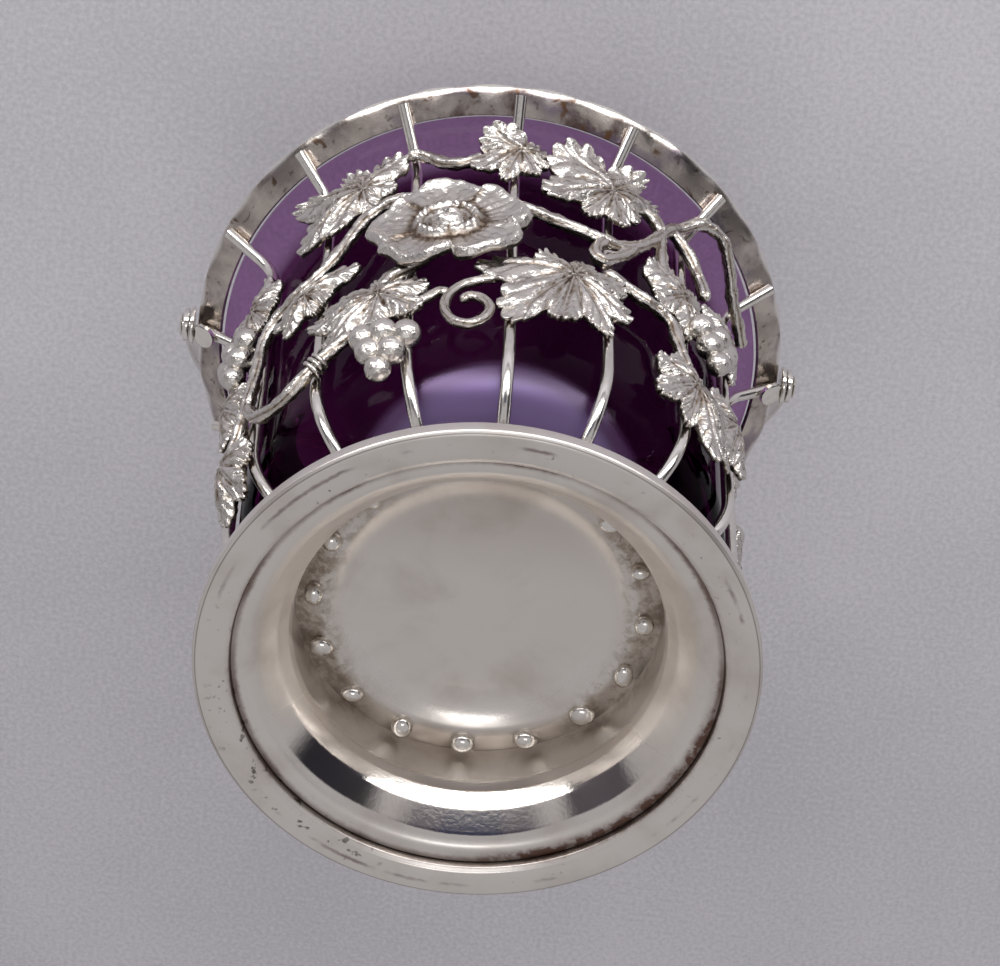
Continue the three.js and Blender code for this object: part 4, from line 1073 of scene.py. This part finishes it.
def stem(places, radius=STEM_R, seed=0, bark=STEM_BARK):
    points = np.array([seat.at(math.radians(a), seat.up(z), radius) for a, z in places])
    return tube_body(smooth_line(points, STEM_STEP), radius, bark, seed)


def tie(start, end):
    """A thread wound round a branch between two places, as rings that lie side by side."""
    a, b = (seat.at(math.radians(azimuth), seat.up(z), STEM_R) for azimuth, z in (start, end))
    along = unit(b - a)
    out, aside = square_to(along, a)
    theta = (np.arange(TIE_STEPS) * 2 * math.pi / TIE_STEPS)[:, None, None]
    phi = (np.arange(THREAD_SIDES) * 2 * math.pi / THREAD_SIDES)[None, :, None]
    across = TIE_R + THREAD_R * np.cos(phi)
    ring = across * (np.cos(theta) * out + np.sin(theta) * aside) - THREAD_R * np.sin(phi) * along
    hollow = np.tile(np.clip(0.7 - np.cos(phi), 0, 1).ravel(), TIE_STEPS)
    faces = grid_faces(TIE_STEPS, THREAD_SIDES, closed=True)
    return [Body(ring.reshape(-1, 3) + a + (b - a) * k / (TIE_LOOPS - 1), faces, hollow)
            for k in range(TIE_LOOPS)]


STEMS = {
    "stem_rim": [
        stem([(-23.6, 77.5), (-21.8, 77.9), (-18.5, 76.6), (-15, 74.2), (-11, 73.8), (-7, 75.4)], seed=1)],
    "stem_main": [
        stem([(-74, 29), (-69, 33.5), (-65.5, 38.5), (-63.6, 44), (-61.5, 49.5), (-57, 52.6), (-51, 53.2),
              (-45, 54), (-40, 56.8), (-36, 60.6), (-32, 64.3), (-27.5, 65.9), (-22.5, 65.5),
              (-14, 62.3)], seed=2),
        stem([(-14, 62.3), (-6, 61.7), (3.5, 60.3), (8, 59), (13, 58.2), (19, 57.8), (24, 58.4), (28, 60.6),
              (31.5, 64.5), (34.8, 69.3), (37.5, 73.2), (41, 77), (44.5, 79.6), (50, 80.2), (57, 79.4),
              (63, 78), (69, 77.6), (75, 77.4)], seed=3),
        stem([(20.5, 57.9), (18.4, 55.2), (17.9, 52.6), (19.6, 51.8), (22.4, 54), (25.6, 57.4),
              (28, 60.6)], seed=4),
        stem([(-14, 62.3), (-15.5, 54), (-18, 47.5), (-22.5, 45.2), (-26, 43.8), (-28, 41.7)], seed=5),
        stem([(35.4, 70.2), (33.4, 72.8), (29, 73.5), (24, 73)], seed=6),
        stem([(35, 69.5), (35, 64.5), (35.2, 60), (37, 56)], seed=7),
        stem([(38.5, 74), (44.5, 72), (48, 68.5), (50.5, 64.5)], seed=8),
        stem([(-66, 36), (-61, 29.5), (-55.5, 26.8), (-50, 26.6), (-45, 28), (-40, 29.8),
              (-34, 32.5)], seed=9), *tie((-43.5, 28.4), (-41.4, 29.3))],
    "stem_link": [
        stem([(20, 48.9), (25.5, 47.6), (30, 47), (34, 47.2), (37.8, 46.4), (39.2, 43), (40.6, 40.2),
              (42.5, 37.5)], seed=10)],
    "tendril": [
        stem([(0, 41.4), (-6.5, 39.8), (-11, 38.2), (-13.5, 35.2), (-13.6, 31.8), (-11.5, 29), (-8.5, 28.2),
              (-5.5, 29.8), (-4.5, 32.8), (-6.5, 35), (-9, 35.5),
              (-10.4, 34.2)], TENDRIL_R, seed=11, bark=TENDRIL_BARK),
        stem([(-13, 36.4), (-15, 37.5), (-17.5, 36.2), (-20.5, 35.3),
              (-24, 36)], TENDRIL_R, seed=12, bark=TENDRIL_BARK)],
}
for name, bodies in STEMS.items():
    add_halves(name, bodies)

# %% [markdown]
# Each side has a lug with a rivet, and the handle's flat eye turns between the lug and the rivet's head.
# The profile of a rivet's head is turned about X, and the lug and the eyes are discs with eased edges.

# %% Hinge
PIVOT_Z = 84.5
LUG_INNER, LUG_SHEET, LUG_R = 45.5, 0.6, 3.0
EYE_INNER, EYE_SHEET, EYE_R = 46.35, 0.8, 2.6
HEAD_INNER, HEAD_HEIGHT, HEAD_R, SHANK_R, BORE_R = 47.4, 0.55, 1.8, 0.75, 1.05
STRAP_HALF_WIDTH, STRAP_HALF_LENGTH, STRAP_THICK, STRAP_PAST, STRAP_SPOKES = 1.5, 2.1, 0.75, 0.35, 72


def about_x(profile, side, steps=48):
    """A profile of (distance along X, radius) turned about the pivot's line, closed if it starts off it."""
    turn = np.arange(steps) * 2 * math.pi / steps
    x, r = np.array(profile).T[:, :, None]
    points = np.stack([np.broadcast_to(side * x, (len(x), steps)), r * np.cos(turn),
                       PIVOT_Z + r * np.sin(turn)], -1).reshape(-1, 3)
    return Body(points, grid_faces(len(x), steps, closed=r[0, 0] > 0.01))


def eased_washer(inner, sheet, radius, bore, ease=0.18):
    return [(inner, bore), (inner, radius - ease), (inner + ease * 0.3, radius - ease * 0.3),
            (inner + ease, radius), (inner + sheet - ease, radius),
            (inner + sheet - ease * 0.3, radius - ease * 0.3), (inner + sheet, radius - ease),
            (inner + sheet, bore)]


def strap_body(side):
    """The oval end of the lug's strap, soldered on the wire under the collar."""
    outline = np.arange(STRAP_SPOKES) * 2 * math.pi / STRAP_SPOKES
    reach = STRAP_HALF_WIDTH * STRAP_HALF_LENGTH / np.hypot(
        STRAP_HALF_LENGTH * np.cos(outline), STRAP_HALF_WIDTH * np.sin(outline))
    rows = [(0.02, 1.0), (0.5, 1.0), (0.88, 1.0), (0.97, 0.85), (1.0, 0.55), (1.0, 0.0), (0.02, 0.0)]
    middle = seat.lengths[-2] + STRAP_PAST - STRAP_HALF_LENGTH
    points = [seat.at(side * math.pi / 2 + share * reach * np.cos(outline) / WALL_R,
                      middle + share * reach * np.sin(outline), height * STRAP_THICK * np.ones(STRAP_SPOKES))
              for share, height in rows]
    return Body(np.vstack(points), capped_faces(len(rows), STRAP_SPOKES))


HEAD = [(HEAD_INNER + along, radius) for along, radius in (
    (0, 0.005), (0, HEAD_R - 0.12), (0.1, HEAD_R), (0.22, HEAD_R - 0.06), (0.38, HEAD_R * 0.72),
    (0.5, HEAD_R * 0.4), (HEAD_HEIGHT, 0.005))]
SHANK = [(LUG_INNER, 0.005), (LUG_INNER, SHANK_R), (HEAD_INNER + 0.1, SHANK_R), (HEAD_INNER + 0.1, 0.005)]
SIDES = {"right": 1, "left": -1}
for side_name, side in SIDES.items():
    lug = [about_x(eased_washer(LUG_INNER, LUG_SHEET, LUG_R, BORE_R), side), strap_body(side)]
    add_bodies(f"lug_{side_name}", lug, drawn_silver, [f"hinge_lug_{side_name}"], 40)
    rivet = [about_x(HEAD, side), about_x(SHANK, side)]
    add_bodies(f"rivet_{side_name}", rivet, drawn_silver, [f"hinge_rivet_{side_name}"], 50)

# %% [markdown]
# The handle is one bow of half-oval bar, forged flat into an eye at each end. It follows half an ellipse,
# and it leans back at rest, as the CAD has it.

# %% Handle
BOW_HEIGHT, BOW_THICK, BOW_WIDTH, BOW_SWELL = 56.0, 2.2, 3.4, 0.7
BOW_START, BOW_START_WIDTH, BOW_PAST_EAR = 1.8, 2.9, 0.6
BOW_SQUARE, BOW_FULL = 2.4, 0.912
HANDLE_LEAN = math.radians(51)
EYE_MIDDLE = EYE_INNER + EYE_SHEET / 2


def bow_body(steps=150, sides=24):
    in_eye, past_ear = math.asin(BOW_START / BOW_HEIGHT), math.asin((LUG_R + BOW_PAST_EAR) / BOW_HEIGHT)
    swell = math.pi - 2 * past_ear
    angle = np.concatenate([[in_eye], past_ear + swell * np.linspace(0, 1, steps), [math.pi - in_eye]])
    flat = np.zeros_like(angle)
    centre = np.stack([EYE_MIDDLE * np.cos(angle), flat, BOW_HEIGHT * np.sin(angle)], -1)
    out = unit(np.stack([BOW_HEIGHT * np.cos(angle), flat, EYE_MIDDLE * np.sin(angle)], -1))
    full = np.sin(math.pi * np.clip((angle - past_ear) / swell, 0, 1)) ** BOW_SWELL
    thick = (EYE_SHEET + (BOW_THICK - EYE_SHEET) * full) / 2
    wide = (BOW_START_WIDTH + (BOW_WIDTH - BOW_START_WIDTH) * full) / 2
    turn = np.arange(sides) * 2 * math.pi / sides
    c, s = np.cos(turn), np.sin(turn)
    square = BOW_FULL * (np.abs(c) ** BOW_SQUARE + np.abs(s) ** BOW_SQUARE) ** (-1 / BOW_SQUARE)
    points = (centre[:, None, :] + (thick[:, None] * c * square)[..., None] * out[:, None, :]
              + (wide[:, None] * s * square)[..., None] * np.array([0, 1, 0])).reshape(-1, 3)
    c, s = math.cos(-HANDLE_LEAN), math.sin(-HANDLE_LEAN)
    points = points @ np.array([[1, 0, 0], [0, c, s], [0, -s, c]]) + np.array([0, 0, PIVOT_Z])
    return Body(points, capped_faces(len(angle), sides))


eyes = [about_x(eased_washer(EYE_INNER, EYE_SHEET, EYE_R, BORE_R), side) for side in SIDES.values()]
add_bodies("handle_bow", [bow_body(), *eyes], drawn_silver, ["handle"], 40, "handle")

# %% [markdown]
# In the photograph the basket stands mouth down on a grey cloth, so in the object's frame the cloth faces
# down and lies beyond the mouth. It is set just clear of the resting handle. For all other views there is
# a pale floor under the foot. Each sheet shows one side only: the cloth from below, the floor from above.

# %% Stage
CLOTH_COLOUR, FLOOR_COLOUR, GRAIN = colour(213, 210, 215), colour(200, 199, 203), colour(120, 120, 130)
CLOTH_Z, FLOOR_Z, CLOTH_SIZE, FLOOR_SIZE = 124.0, -0.02, 8000.0, 1800.0
CLOTH_SPECKLE, FLOOR_SPECKLE = 0.3, 0.1


def stage_finish(name, shade, speckle, camera_only):
    finish = Finish(name, Roughness=0.95, Specular_IOR_Level=0.05)
    place = finish.place()
    grain = finish.noise(place, 0.8, detail=4.0) * 0.7 + finish.noise(place, 45.0, detail=2.0) * 0.3
    finish.set("Base Color", finish.mix(grain.between(0.3, 0.7) * speckle, shade, GRAIN))
    hidden = finish.node("ShaderNodeNewGeometry", output="Backfacing")
    if camera_only:
        hidden = 1 - (1 - hidden) * finish.node("ShaderNodeLightPath", output="Is Camera Ray")
    finish.plug(finish.end.inputs["Surface"], finish.node("ShaderNodeMixShader", {}, {
        0: hidden, 1: finish.shaded(), 2: finish.node("ShaderNodeBsdfTransparent")}))
    return finish.material


def stage_sheet(name, width, height, finish, z=0.0, faces_up=False, place=None):
    w, h = width / 2, height / 2
    mesh = bpy.data.meshes.new(name)
    mesh.from_pydata([(x * MM, y * MM, z * MM) for x, y in ((-w, -h), (w, -h), (w, h), (-w, h))], [],
                     [(0, 1, 2, 3) if faces_up else (3, 2, 1, 0)])
    mesh.materials.append(finish)
    sheet = new_object(name, mesh)
    if place is not None:
        sheet.matrix_world = place
    sheet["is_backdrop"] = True
    return sheet


cloth_finish = stage_finish("grey_cloth", CLOTH_COLOUR, CLOTH_SPECKLE, False)
stage_sheet("cloth", CLOTH_SIZE, CLOTH_SIZE, cloth_finish, CLOTH_Z)
floor_finish = stage_finish("floor_paper", FLOOR_COLOUR, FLOOR_SPECKLE, True)
stage_sheet("floor", FLOOR_SIZE, FLOOR_SIZE, floor_finish, FLOOR_Z, faces_up=True)

# %% [markdown]
# Silver shows its surroundings, so they are built for it. A pale room gives the satin grey of the ring. A
# long soft window low in front makes the highlights of the wires and of the dome, a lamp over the mouth lights
# the glass from behind, and a small one by the camera brightens the rolled edge of the plate. Dark cards
# stand behind the camera, where the photographer stood, and at both sides. Only mirror rays see a card, and
# it fades towards its edges.

# %% Lamps and world
ROOM_COLOUR, ROOM_STRENGTH = colour(205, 203, 205), 0.72
LOOK_AT = (0, 0, 30)
CARD_SOLID, CARD_EDGE = 0.28, 0.5
LAMPS = {  # azimuth, elevation, distance, width, height, watts
    "window": (-2, -15, 600, 1300, 190, 4.4),
    "above_mouth": (-40, 55, 700, 500, 500, 2.5),
    "over_camera": (3, -66, 900, 360, 170, 0.55),
}
CARDS = {  # azimuth, elevation, distance, width, height, colour
    "photographer": (-4, -35, 900, 520, 290, colour(76, 82, 112)),
    "behind_camera": (-4, -35, 950, 1250, 300, colour(124, 116, 128)),
    "left_wall": (-65, -16, 900, 620, 600, colour(104, 100, 106)),
    "right_wall": (63, -16, 900, 840, 640, colour(56, 54, 62)),
}

world = bpy.data.worlds.new("pale_room")
bpy.context.scene.world = world
world.use_nodes = True
world.node_tree.nodes["Background"].inputs["Color"].default_value = ROOM_COLOUR
world.node_tree.nodes["Background"].inputs["Strength"].default_value = ROOM_STRENGTH


def facing_aim(azimuth, elevation, distance):
    """The place of a thing that looks at the basket's middle along its own -Z."""
    out = towards(azimuth, elevation)
    return (Matrix.Translation(Vector(LOOK_AT) * MM + out * distance * MM)
            @ out.to_track_quat("Z", "Y").to_matrix().to_4x4())


def soft_lamp(name, azimuth, elevation, distance, width, height, watts):
    data = bpy.data.lights.new(name, "AREA")
    data.shape, data.size, data.size_y, data.energy = "RECTANGLE", width * MM, height * MM, watts
    new_object(name, data).matrix_world = facing_aim(azimuth, elevation, distance)


def dark_card(name, azimuth, elevation, distance, width, height, shade):
    """Lets only mirror rays see a card, and only its front, and fades it towards its edges."""
    finish = Finish(name, Base_Color=shade, Roughness=0.9, Specular_IOR_Level=0.0)
    seen = 1 - finish.node("ShaderNodeNewGeometry", output="Backfacing")
    glossy, through = [finish.node("ShaderNodeLightPath", output=f"Is {kind} Ray")
                       for kind in ("Glossy", "Transmission")]
    mirror = glossy * (1 - through)
    across, up, _ = finish.axes(finish.place())
    for offset, size in ((across, width), (up, height)):
        mirror = mirror * (1 - offset.maths("ABSOLUTE").between(size * CARD_SOLID, size * CARD_EDGE))
    finish.plug(finish.end.inputs["Surface"], finish.node("ShaderNodeMixShader", {}, {
        0: seen * mirror, 1: finish.node("ShaderNodeBsdfTransparent"), 2: finish.shaded()}))
    stage_sheet(name, width, height, finish.material, place=facing_aim(azimuth, elevation, distance))


for name, sizes in LAMPS.items():
    soft_lamp(name, *sizes)
for name, sizes in CARDS.items():
    dark_card(name, *sizes)
print("lamps", list(LAMPS), "cards", list(CARDS))

# %% Measure the result
low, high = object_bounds()
print("visual", [round(x / MM, 2) for x in (*low, *high)])
